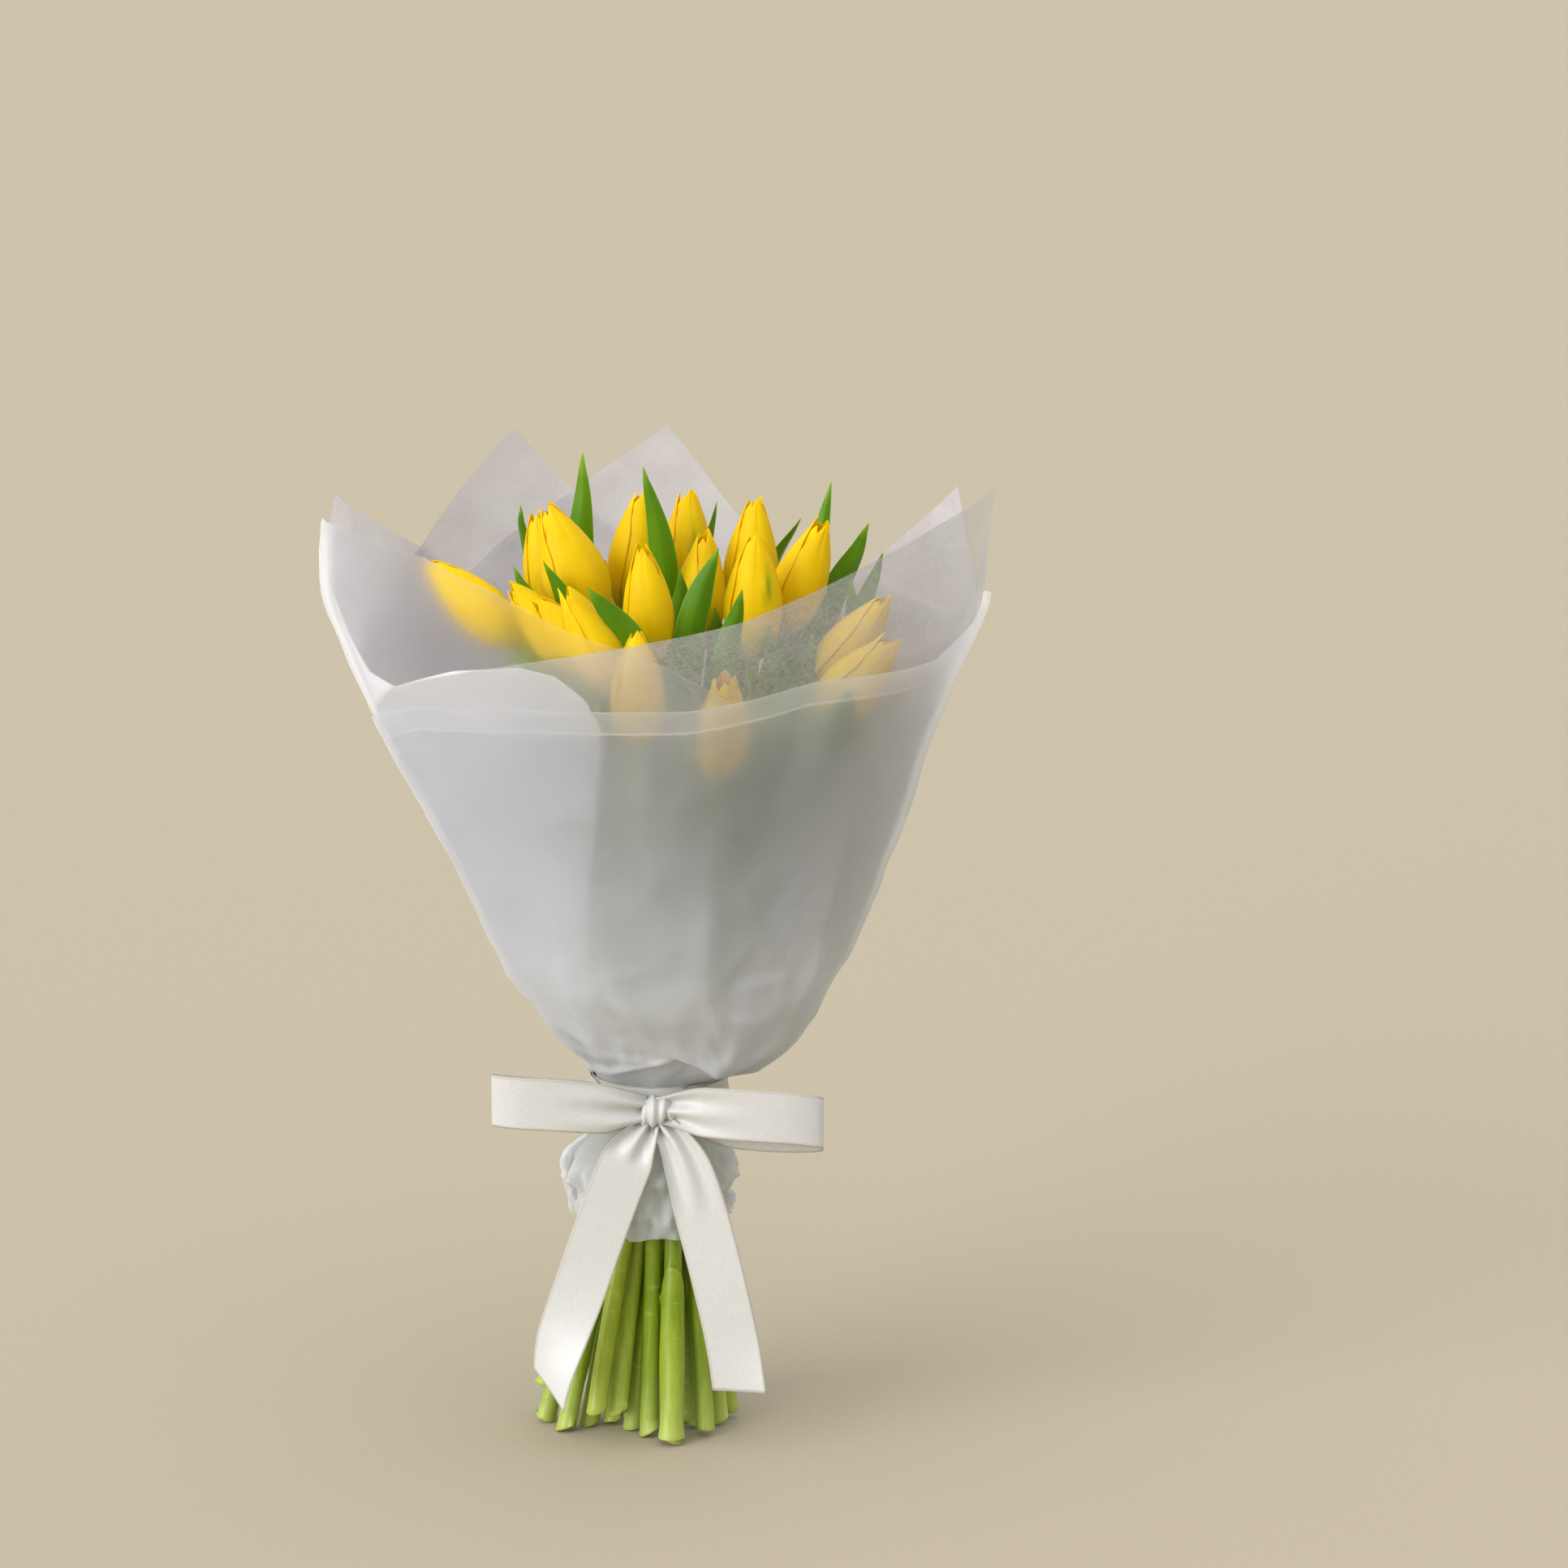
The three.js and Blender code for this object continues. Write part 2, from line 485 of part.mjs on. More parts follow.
// A strip of ribbon along its middle, standing on edge or hanging: its width runs along "across".
function strip(stations, across) {
  const grid = stations.map(([x, y, z, open], row) => {
    const side = across(row, stations).normalize().multiplyScalar(open * RIBBON_WIDTH / 2);
    return [-1, 1].map((end) => new THREE.Vector3(x, y, z).addScaledVector(side, end));
  });
  return blade(grid, RIBBON_THICKNESS);
}

const KNOT = new THREE.Vector3(-2, -(bandOuter + CLEARANCE + KNOT_HALF.y), NECK_HEIGHT + 2);
const upright = () => new THREE.Vector3(0, 0, 1);
const squareAcross = (row, stations) => {
  const [before, after] = [stations[Math.max(row - 1, 0)], stations[Math.min(row + 1, stations.length - 1)]];
  return new THREE.Vector3(after[2] - before[2], 0, before[0] - after[0]);
};

// The knot is a pleated ball, deepest in its folds at the sides.
function knot() {
  const body = new THREE.SphereGeometry(1, 10, 6);
  const position = body.getAttribute('position');
  const point = new THREE.Vector3();
  for (let i = 0; i < position.count; i += 1) {
    point.fromBufferAttribute(position, i);
    const pleat = 1 + 0.07 * Math.cos(5 * Math.atan2(point.z, point.x)) * Math.hypot(point.x, point.z);
    position.setXYZ(i, KNOT_HALF.x * pleat * point.x, KNOT_HALF.y * point.y, KNOT_HALF.z * pleat * point.z);
  }
  body.translate(...KNOT.toArray());
  return body;
}

// Loops: out along the front, round the end and back behind. Tails: down and outwards. Each
// station is x, y, z and the part of the ribbon's width that lies open there.
const LOOP_LEFT = [[-4, -39, 163, 0.48], [-12, -43, 164, 0.68], [-26, -48, 165.5, 0.96], [-48, -51, 168, 1],
  [-68, -50, 169, 1], [-77, -45.5, 169, 1], [-76, -41, 168, 1], [-60, -37.5, 166, 1], [-36, -36.5, 164, 1],
  [-18, -37, 163, 0.72], [-5, -37.2, 162, 0.48]];
const LOOP_RIGHT = [[0, -39, 163, 0.48], [9, -43, 164, 0.68], [22, -48, 164, 0.96], [44, -51, 163, 1],
  [66, -50, 161, 1], [77, -45.5, 160, 1], [76, -41, 158, 1], [60, -37.5, 158, 1], [36, -36.5, 160, 1],
  [16, -37, 161, 0.72], [1, -37.2, 162, 0.48]];
const TAIL_LEFT = [[-4, -38.5, 157, 0.4], [-9, -43, 149, 0.72], [-15, -46, 138, 1], [-25, -48, 112, 1],
  [-37, -51, 78, 1], [-47, -54, 50, 1], [-51, -56, 34, 0.64], [-49.5, -57, 20, 0.16]];
const TAIL_RIGHT = [[1, -38.5, 157, 0.4], [8, -43, 149, 0.64], [14, -46, 137, 0.88], [21, -48, 112, 1],
  [29, -51, 80, 1], [35, -53, 52, 1], [38, -55, 31, 1]];

addPiece('ribbon_bow', fuse([knot(), strip(LOOP_LEFT, upright), strip(LOOP_RIGHT, upright),
  strip(TAIL_LEFT, squareAcross), strip(TAIL_RIGHT, squareAcross)]), satinIvory);

// The origin is the middle of the underside of the whole bunch's box.
const box = new THREE.Box3().setFromObject(bunch);
const middle = box.getCenter(new THREE.Vector3());
bunch.position.set(-middle.x, -middle.y, -box.min.z);

export default bunch;
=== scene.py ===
"""Bunch of yellow tulips in tissue and frosted film with an ivory satin bow: the visual model.

Sizes are in millimetres from the bunch's axis and the ground until metres() puts a point in the
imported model's frame. The bow faces -Y. Azimuths run from the front (-Y) towards +X, in degrees.
"""
import bisect
import functools
import math
import random

import bmesh
import bpy
from mathutils import Matrix, Vector, noise


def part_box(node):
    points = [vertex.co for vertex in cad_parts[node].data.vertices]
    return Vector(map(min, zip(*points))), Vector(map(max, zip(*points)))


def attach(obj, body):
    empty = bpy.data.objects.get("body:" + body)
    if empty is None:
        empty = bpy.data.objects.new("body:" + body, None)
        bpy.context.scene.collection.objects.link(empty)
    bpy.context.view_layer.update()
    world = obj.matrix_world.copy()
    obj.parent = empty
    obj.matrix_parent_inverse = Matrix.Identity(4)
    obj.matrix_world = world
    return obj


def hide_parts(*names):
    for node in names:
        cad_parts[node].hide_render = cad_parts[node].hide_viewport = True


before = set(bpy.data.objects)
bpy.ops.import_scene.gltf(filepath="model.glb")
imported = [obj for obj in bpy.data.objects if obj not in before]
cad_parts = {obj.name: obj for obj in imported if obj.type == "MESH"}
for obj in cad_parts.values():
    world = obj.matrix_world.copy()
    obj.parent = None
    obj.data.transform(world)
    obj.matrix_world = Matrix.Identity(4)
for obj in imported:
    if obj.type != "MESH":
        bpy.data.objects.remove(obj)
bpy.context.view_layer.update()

MM = 0.001
tie_low, tie_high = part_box("stem_tie")
BUNCH_AXIS = Vector(((tie_low.x + tie_high.x) / 2, (tie_low.y + tie_high.y) / 2, 0))

NECK_HEIGHT = 160
STEM_RADIUS = 4.2
STEM_GAP = 0.15

# The wrap: its layers, how far apart they lie at the neck and higher up, and its lower end.
SHEETS = 6
SHEET_PITCH_NECK, SHEET_PITCH_TOP = 0.9, 2.0
HEM = 102
# By height: its radius, how far it leans to the side, and its depth as a part of its width.
WRAP_OUTLINE = ((102, 36), (128, 39), (147, 31), (172, 31), (188, 55), (224, 82), (300, 115),
                (400, 158), (470, 159))
WRAP_SIDE_SHIFT = ((102, -3), (128, -5), (147, 0), (172, 0), (188, 9), (224, 7), (300, 3),
                   (350, -2), (400, -2), (470, 4))
WRAP_DEPTH_RATIO = ((172, 1), (230, 0.9), (300, 0.82), (460, 0.8))

# Tip, lean from upright and the azimuth it leans towards, bloom length and width, turn of the
# petals, cut end with its height.
TULIPS = (
    ((-107, -12, 419), 50, -100, 60, 24, 10, (-55, -7, 0)),
    ((-68, -31, 412), 40, -88, 58, 23, 40, (-45, -22, 0)),
    ((-55, -57, 410), 42, -84, 56, 23, 15, (-20, -28, 9)),
    ((-41, -79, 420), 26, -80, 58, 24, 50, (-30, -36, 13)),
    ((-51, -6, 445), 20, -90, 66, 31, 25, (-34, -13, 0)),
    ((-58, 30, 435), 12, -100, 58, 24, 5, (-56, 12, 11)),
    ((-6, 18, 449), 8, 90, 62, 25, 35, (-43, 14, 6)),
    ((-23, 61, 408), 6, -120, 56, 25, 0, (-24, 32, 0)),
    ((-6, -42, 433), 5, -90, 60, 24, 0, (-13, -19, 0)),
    ((14, 50, 442), 4, 150, 60, 26, 20, (-2, 38, 0)),
    ((23, 8, 430), 6, 90, 60, 25, 45, (-23, -11, 0)),
    ((46, 24, 443), 4, 90, 62, 26, 12, (-5, 6, 0)),
    ((46, -34, 436), 5, 20, 62, 28, 3, (14, -18, 0)),
    ((78, -6, 438), 21, 93, 62, 26, 20, (33, -1, 3)),
    ((86, 32, 407), 26, 100, 58, 24, 50, (20, 27, 0)),
    ((-7, -102, 404), 12, 0, 58, 25, 2, (-5, -30, 0)),
    ((33, -95, 383), 14, 15, 56, 26, 58, (6, -42, 0)),
    ((111, -62, 393), 42, 75, 58, 26, 20, (22, -29, 2)),
    ((108, -18, 404), 38, 92, 58, 24, 33, (28, -12, 1)),
)

# One row a leaf: its tulip, root height, a point it bends through, its tip, greatest width, the
# azimuth its blade faces and how far its tip hooks sideways.
LEAVES = (
    (1, 290, (-58, 12, 372), (-76, 16, 388), 14, -60, 0),
    (2, 280, (-54, -14, 392), (-68, -13, 415), 10, -25, -2),
    (3, 285, (-42, -84, 372), (-62, -88, 385), 14, -30, 0),
    (4, 325, (-8, -80, 386), (-29, -88, 421), 20, -8, 1),
    (5, 290, (-40, -28, 394), (-51, -30, 422), 13, -20, 1),
    (6, 290, (-61, 42, 408), (-67, 30, 438), 9, -30, -3),
    (7, 290, (4, -6, 404), (-5, -9, 462), 17, 12, 1),
    (8, 300, (-38, 50, 400), (-34, 52, 458), 18, -15, 2),
    (9, 280, (17, -48, 394), (28, -46, 431), 17, 20, -1),
    (10, 300, (24, 34, 410), (28, 36, 438), 12, 50, 1),
    (11, 285, (10, -16, 388), (13, -18, 415), 13, 0, 2),
    (12, 300, (51, 51, 396), (67, 46, 428), 12, 35, 0),
    (13, 285, (34, -74, 388), (41, -76, 417), 14, 20, 1),
    (14, 280, (82, 6, 396), (100, 6, 432), 18, 25, 2),
    (15, 270, (71, 8, 398), (80, 15, 451), 14, 15, -1),
    (16, 270, (13, -78, 328), (12, -94, 362), 16, 0, 0),
    (17, 265, (52, -84, 350), (64, -92, 376), 18, 20, 0),
    (18, 270, (84, -74, 356), (96, -84, 372), 18, 40, 0),
    (19, 275, (96, 10, 390), (106, 20, 416), 13, 35, 1),
    # Deeper in the bunch.
    (11, 240, (31, -12, 345), (27, -18, 398), 24, 5, 0),
    (13, 240, (58, -34, 345), (52, -44, 394), 24, 15, 0),
    (15, 240, (92, 8, 350), (90, -2, 408), 22, 20, 0),
    (14, 230, (70, -20, 340), (72, -30, 388), 24, 20, 0),
    (9, 235, (0, -50, 335), (4, -56, 378), 22, 0, 0),
)

# Top edge of each sheet as azimuth and height, with its layer counted from the inside.
SHEET_EDGES = {
    "tissue_back_right": (0, ((105, 384), (125, 388), (136, 394), (150, 380), (168, 426), (180, 461),
                              (198, 427), (216, 396), (240, 366))),
    "tissue_back_left": (1, ((165, 356), (175, 378), (187, 407), (197, 431), (209, 461), (228, 410),
                             (240, 388), (270, 370))),
    "tissue_wing_left": (2, ((210, 376), (228, 408), (247, 430), (264, 446), (275, 426), (285, 406),
                             (291, 372), (300, 368), (321, 382), (336, 387), (343, 384), (348, 373),
                             (351, 354))),
    "tissue_wing_right": (2, ((90, 386), (100, 405), (109, 426), (114, 443), (126, 420), (136, 401),
                              (150, 370))),
    "tissue_front": (3, ((-75, 352), (-60, 368), (-33, 384), (-6, 398), (16, 409), (29, 420),
                         (43, 433), (58, 445), (76, 452), (88, 453), (96, 425), (105, 384))),
    "film_left": (4, ((-120, 398), (-100, 422), (-84, 439), (-71, 440), (-43, 434), (-27, 421),
                      (-13, 405), (0, 394), (7, 384), (15, 372), (30, 352), (45, 332))),
    "film_front": (5, ((-75, 348), (-55, 360), (-23, 367), (7, 368), (19, 372), (33, 378), (67, 378),
                       (77, 391), (88, 402), (105, 396))),
}


# ---- lines and curves ----
def metres(point):
    return BUNCH_AXIS + Vector(point) * MM


def mix(a, b, share):
    return a + (b - a) * share


def clamp(value, low=0.0, high=1.0):
    return max(low, min(high, value))


def ramp(low, high, value):
    """0 below low and 1 above high, easing between."""
    t = clamp((value - low) / (high - low))
    return t * t * (3 - 2 * t)


def bump_at(centre, half_width, value):
    """1 at centre, easing to 0 at half_width from it."""
    return 1 - ramp(0, half_width, abs(value - centre))


def outward(azimuth, reach=1, height=0):
    turn = math.radians(azimuth)
    return Vector((reach * math.sin(turn), -reach * math.cos(turn), height))


def step_at(places, at):
    """Which step between rising places a value falls in, told by the step's end."""
    return clamp(bisect.bisect_left(places, at), 1, len(places) - 1)


def step_of(points, at):
    """The step of a table that a value falls in, and the value kept within the table."""
    at = clamp(at, points[0][0], points[-1][0])
    return step_at([p[0] for p in points], at), at


def along(points, at):
    """Straight lines between points."""
    k, at = step_of(points, at)
    (a, low), (b, high) = points[k - 1], points[k]
    return mix(low, high, (at - a) / (b - a))


def eased(points, at):
    """A smooth line through points that never overshoots them."""
    k, at = step_of(points, at)

    def rise(i):
        return (points[i + 1][1] - points[i][1]) / (points[i + 1][0] - points[i][0])

    def slope(i):
        if i == 0:
            return rise(0)
        if i == len(points) - 1:
            return rise(i - 1)
        before, after = rise(i - 1), rise(i)
        return 0 if before * after <= 0 else 2 * before * after / (before + after)

    (a, low), (b, high) = points[k - 1], points[k]
    width = b - a
    t = (at - a) / width
    return (low * (1 + 2 * t) * (1 - t) ** 2 + width * slope(k - 1) * t * (1 - t) ** 2
            + high * t * t * (3 - 2 * t) + width * slope(k) * t * t * (t - 1))


def bezier(a, b, c, d, t):
    return a * (1 - t) ** 3 + b * (3 * t * (1 - t) ** 2) + c * (3 * t * t * (1 - t)) + d * t ** 3


def spline(points, at):
    """Point at part at of a centripetal spline through points."""
    reach = at * (len(points) - 1)
    k = min(int(reach), len(points) - 2)
    t = reach - k
    p1, p2 = points[k], points[k + 1]
    p0 = points[k - 1] if k > 0 else p1 * 2 - p2
    p3 = points[k + 2] if k + 2 < len(points) else p2 * 2 - p1
    d0, d1, d2 = (max((b - a).length ** 0.5, 1e-4) for a, b in ((p0, p1), (p1, p2), (p2, p3)))
    m1 = ((p1 - p0) / d0 - (p2 - p0) / (d0 + d1) + (p2 - p1) / d1) * d1
    m2 = ((p2 - p1) / d1 - (p3 - p1) / (d1 + d2) + (p3 - p2) / d2) * d1
    return (p1 * (1 + 2 * t) * (1 - t) ** 2 + m1 * t * (1 - t) ** 2
            + p2 * t * t * (3 - 2 * t) + m2 * t * t * (t - 1))


def tangent(line, at, step=0.01):
    return (line(min(at + step, 1)) - line(max(at - step, 0))).normalized()


# ---- mesh tools ----
def lay_grid(shape, columns, rows, place, slot=0):
    """Adds a grid of columns by rows faces, each corner moved to place(u, v), u and v from 0 to 1."""
    made = bmesh.ops.create_grid(shape, x_segments=columns, y_segments=rows, size=0.5, calc_uvs=True)
    corners = made["verts"]
    faces = {face for vertex in corners for face in vertex.link_faces}
    for face in faces:
        face.material_index = slot
    for vertex in corners:
        vertex.co = place(vertex.co.x + 0.5, vertex.co.y + 0.5)
    return corners, faces


def new_shape():
    shape = bmesh.new()
    shape.loops.layers.uv.new("UVMap")
    return shape


def set_tone(shape, corners, tone):
    layer = shape.verts.layers.float["tone"]
    for vertex in corners:
        vertex[layer] = tone


def lengthen_uv(shape, faces, times):
    uv = shape.loops.layers.uv["UVMap"]
    for face in faces:
        for loop in face.loops:
            loop[uv].uv.y *= times


def put_in(name, data):
    item = bpy.data.objects.new(name, data)
    bpy.context.scene.collection.objects.link(item)
    return item


def meshed(shape, name, materials):
    mesh = bpy.data.meshes.new(name)
    shape.to_mesh(mesh)
    shape.free()
    for material in materials:
        mesh.materials.append(material)
    return put_in(name, mesh)


def finish(shape, name, materials, replaced, wall=0, levels=0):
    """Turns a shape in millimetres into a finished piece on the bunch."""
    for vertex in shape.verts:
        vertex.co = metres(vertex.co)
    for face in shape.faces:
        face.smooth = True
    piece = meshed(shape, name, materials)
    if wall:
        solid = piece.modifiers.new("wall", "SOLIDIFY")
        solid.thickness = wall * MM
        solid.offset = 0
        solid.use_even_offset = False
    if levels:
        smooth = piece.modifiers.new("smooth", "SUBSURF")
        smooth.levels = smooth.render_levels = levels
    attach(piece, "root")
    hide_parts(replaced)
    return piece


# ---- materials ----
def srgb(code):
    """An sRGB hex colour as the linear colour a shader takes."""
    parts = [int(code[i:i + 2], 16) / 255 for i in (1, 3, 5)]
    return (*(c / 12.92 if c <= 0.04045 else ((c + 0.055) / 1.055) ** 2.4 for c in parts), 1.0)


def add_node(tree, kind, inputs=None, stops=(), **settings):
    """A node with its settings, its inputs and the stops of its ramp.

    An input that is given a socket, or a node for its first output in use, is linked to it. Text is
    a colour, and a ramp's plain numbers are greys.
    """
    node = tree.nodes.new("ShaderNode" + kind)
    for key, value in settings.items():
        setattr(node, key, value)
    for socket, value in (inputs or {}).items():
        if isinstance(value, bpy.types.Node):
            value = next(output for output in value.outputs if output.enabled)
        if isinstance(value, bpy.types.NodeSocket):
            tree.links.new(value, node.inputs[socket])
        else:
            node.inputs[socket].default_value = srgb(value) if isinstance(value, str) else value
    for _ in stops[2:]:
        node.color_ramp.elements.new(0.5)
    for k, (place, tone) in enumerate(stops):
        node.color_ramp.elements[k].position = place
        node.color_ramp.elements[k].color = srgb(tone) if isinstance(tone, str) else (tone, tone, tone, 1)
    return node


def new_material(name):
    """A material with no nodes yet, and add_node for it."""
    material = bpy.data.materials.new(name)
    material.use_nodes = True
    material.node_tree.nodes.clear()
    return material, functools.partial(add_node, material.node_tree)


def strip_place(add):
    """A strip's own coordinates: the part across it, the part along it, and how far from its middle."""
    uv = add("UVMap", uv_map="UVMap")
    across, along_it, _ = add("SeparateXYZ", {0: uv}).outputs
    aside = add("Math", {0: add("Math", {0: across, 1: 0.5}, operation="SUBTRACT")}, operation="ABSOLUTE")
    return uv, along_it, aside


def glowing(add, share, skin, body):
    """A thin skin that passes a share of the light on, in its own colour."""
    return add("MixShader", {0: share, 1: skin, 2: add("BsdfTranslucent", {"Color": body})})


# Tulip petal: thin matt tissue with a faint waxy sheen. Fine veins run to the tip every 0.6 mm.
# The margins turn deeper orange, partly their own colour and partly painted shade in the seams
# where the petals overlap. The base and the middle of an outer petal keep a breath of green.
def petal_material():
    material, add = new_material("tulip_petal_yellow")
    uv, up, aside = strip_place(add)
    veins = add("TexNoise", {"Vector": add("Mapping", {"Vector": uv, "Scale": (42, 1.6, 1)}),
                             "Scale": 1.0, "Detail": 3.0, "Roughness": 0.6})
    spots = add("TexNoise", {"Vector": add("TexCoord").outputs["Object"], "Scale": 90.0, "Detail": 3.0})
    body = add("Mix", {0: 0.5, 6: add("ValToRGB", {0: veins}, ((0.3, "#F5D000"), (0.7, "#FBE000"))),
                       7: add("ValToRGB", {0: spots}, ((0.35, "#F6D200"), (0.65, "#FBE200")))},
               data_type="RGBA")
    # Margin mask: deeper orange at the petal's edges, partly painted shade of the seams between petals.
    margin = add("ValToRGB", {0: aside}, ((0.45, 0.0), (0.498, 0.5)))
    below_tip = add("ValToRGB", {0: up}, ((0.78, 1.0), (0.95, 0.0)))
    streak = add("Attribute", attribute_name="streak").outputs["Fac"]
    broken = add("ValToRGB", {0: veins}, ((0.35, 0.5), (0.6, 1.0)))
    margin = add("Math", {0: margin, 1: below_tip}, operation="MULTIPLY")
    base = add("ValToRGB", {0: up}, ((0.0, 0.75), (0.09, 0.35), (0.24, 0.0)))
    streak = add("Math", {0: streak, 1: broken}, operation="MULTIPLY")
    # The margins' orange is partly painted seam shade; the green base and streaks are the petal's own.
    for where, colour in ((margin, "#F2B600"), (base, "#B9C23A"), (streak, "#7FA016")):
        body = add("Mix", {0: where, 6: body, 7: colour}, data_type="RGBA")
    relief = add("Bump", {"Height": veins, "Strength": 0.35, "Distance": 0.0002})
    skin = add("BsdfPrincipled", {"Base Color": body, "Roughness": 0.5, "IOR": 1.4,
                                  "Specular IOR Level": 0.3, "Normal": relief})
    add("OutputMaterial", {"Surface": glowing(add, 0.35, skin, body)})
    return material


# Tulip leaf: smooth waxy blade. Parallel veins every 1 mm, a paler margin and tip.
def leaf_material():
    material, add = new_material("tulip_leaf_green")
    uv, up, aside = strip_place(add)
    veins = add("TexNoise", {"Vector": add("Mapping", {"Vector": uv, "Scale": (26, 1.2, 1)}),
                             "Scale": 1.0, "Detail": 4.0, "Roughness": 0.55})
    patches = add("TexNoise", {"Vector": add("TexCoord").outputs["Object"], "Scale": 45.0})
    body = add("Mix", {0: 0.5, 6: add("ValToRGB", {0: veins}, ((0.3, "#3F7802"), (0.72, "#6A9808"))),
                       7: add("ValToRGB", {0: patches}, ((0.35, "#457403"), (0.65, "#659206")))},
               data_type="RGBA")
    margin = add("ValToRGB", {0: aside}, ((0.46, 0.0), (0.498, 0.6)))
    tip = add("ValToRGB", {0: up}, ((0.93, 0.0), (1.0, 0.55)))
    pale = add("Math", {0: margin, 1: tip}, operation="MAXIMUM")
    body = add("Mix", {0: pale, 6: body, 7: "#9CCB35"}, data_type="RGBA")
    relief = add("Bump", {"Height": veins, "Strength": 0.4, "Distance": 0.0003})
    skin = add("BsdfPrincipled", {"Base Color": body, "Roughness": 0.4, "IOR": 1.42,
                                  "Specular IOR Level": 0.4, "Normal": relief})
    add("OutputMaterial", {"Surface": glowing(add, 0.2, skin, body)})
    return material


# Tulip stem: juicy and waxy, yellow-green where light falls, paler at the foot, with faint cross
# rings every few millimetres and a few brown scuffs.
def stem_material():
    material, add = new_material("tulip_stem_green")
    place = add("TexCoord").outputs["Object"]
    grain = add("TexNoise", {"Vector": add("Mapping", {"Vector": place, "Scale": (1, 1, 0.06)}),
                             "Scale": 520.0, "Detail": 3.0})
    rings = add("TexNoise", {"Vector": add("Mapping", {"Vector": place, "Scale": (0.25, 0.25, 1)}),
                             "Scale": 300.0})
    scuffs = add("TexVoronoi", {"Vector": add("Mapping", {"Vector": place, "Scale": (1, 1, 0.45)}),
                                "Scale": 42.0})
    patches = add("TexNoise", {"Vector": place, "Scale": 38.0})
    own = add("Attribute", attribute_name="tone").outputs["Fac"]
    own = add("ValToRGB", {0: own}, ((0.0, "#4B6A02"), (0.5, "#7A9808"), (1.0, "#B6C038")))
    patches = add("ValToRGB", {0: patches}, ((0.3, "#6E8A0A"), (0.7, "#94AB1C")))
    fibres = add("ValToRGB", {0: grain}, ((0.35, "#668406"), (0.65, "#A4B430")))
    foot = add("SeparateXYZ", {0: place}).outputs["Z"]
    foot = add("ValToRGB", {0: foot}, ((0.0, 0.5), (0.03, 0.12), (0.06, 0.0)))
    rings = add("ValToRGB", {0: rings}, ((0.62, 0.0), (0.72, 0.35)))
    scuffs = add("ValToRGB", {0: scuffs}, ((0.0, 0.85), (0.035, 0.6), (0.06, 0.0)))
    body = patches
    for where, colour in ((0.6, own), (0.3, fibres), (foot, "#C9D478"), (rings, "#B2C45A"),
                          (scuffs, "#9A6A1E")):
        body = add("Mix", {0: where, 6: body, 7: colour}, data_type="RGBA")
    relief = add("Bump", {"Height": grain, "Strength": 0.3, "Distance": 0.0003})
    skin = add("BsdfPrincipled", {"Base Color": body, "Roughness": 0.33, "IOR": 1.45,
                                  "Subsurface Weight": 0.15, "Subsurface Scale": 0.003,
                                  "Subsurface Radius": (0.6, 1.0, 0.2), "Normal": relief})
    add("OutputMaterial", {"Surface": skin})
    return material


# Cut stem end: wet pale flesh with darker fibre bundles.
def cut_material():
    material, add = new_material("cut_stem_flesh")
    bundles = add("TexVoronoi", {"Vector": add("TexCoord").outputs["Object"], "Scale": 1400.0})
    body = add("ValToRGB", {0: bundles}, ((0.1, "#A9BC6A"), (0.6, "#E0E8BE")))
    relief = add("Bump", {"Height": bundles, "Strength": 0.5, "Distance": 0.0003})
    skin = add("BsdfPrincipled", {"Base Color": body, "Roughness": 0.5, "Normal": relief})
    add("OutputMaterial", {"Surface": skin})
    return material


# The film's milkiness is told down to this depth below its top edge, in millimetres.
FILM_DEPTH = 250


# Frosted polypropylene film: milky, smooth and softly shiny. It scatters what passes through, so
# what touches it shows plainly and what stands further off melts into a glow. How milky it looks
# changes with the depth below its top edge.
def film_material(name, bend, *milkiness):
    material, add = new_material(name)
    place = add("TexCoord").outputs["Object"]
    cloud = add("TexNoise", {"Vector": place, "Scale": 9.0})
    body = add("ValToRGB", {0: cloud}, ((0.3, "#F3F4F7"), (0.7, "#F9FAFC")))
    ripple = add("TexNoise", {"Vector": place, "Scale": 26.0, "Detail": 1.0})
    relief = add("Bump", {"Height": ripple, "Strength": 0.12, "Distance": 0.002})
    skin = add("BsdfPrincipled", {"Base Color": body, "Roughness": 0.5, "IOR": 1.45,
                                  "Specular IOR Level": 0.25, "Normal": relief})
    blur = add("BsdfGlass", {"Color": "#F9FAFE", "Roughness": 0.95, "IOR": bend}, distribution="MULTI_GGX")
    blur = add("MixShader", {0: 0.1, 1: blur, 2: add("BsdfTransparent")})
    depth = add("Attribute", attribute_name="below_edge").outputs["Fac"]
    depth = add("Math", {0: depth, 1: float(FILM_DEPTH)}, operation="DIVIDE")
    flat_on = add("ValToRGB", {0: depth}, [(below / FILM_DEPTH, share) for below, share in milkiness])
    edge_on = add("LayerWeight", {"Blend": 0.5}).outputs["Facing"]
    edge_on = add("ValToRGB", {0: edge_on}, ((0.55, 0.0), (0.85, 0.92)))
    milky = add("Math", {0: flat_on, 1: edge_on}, operation="MAXIMUM")
    film = add("MixShader", {0: milky, 1: blur, 2: glowing(add, 0.55, skin, body)})
    add("OutputMaterial", {"Surface": film})
    return material
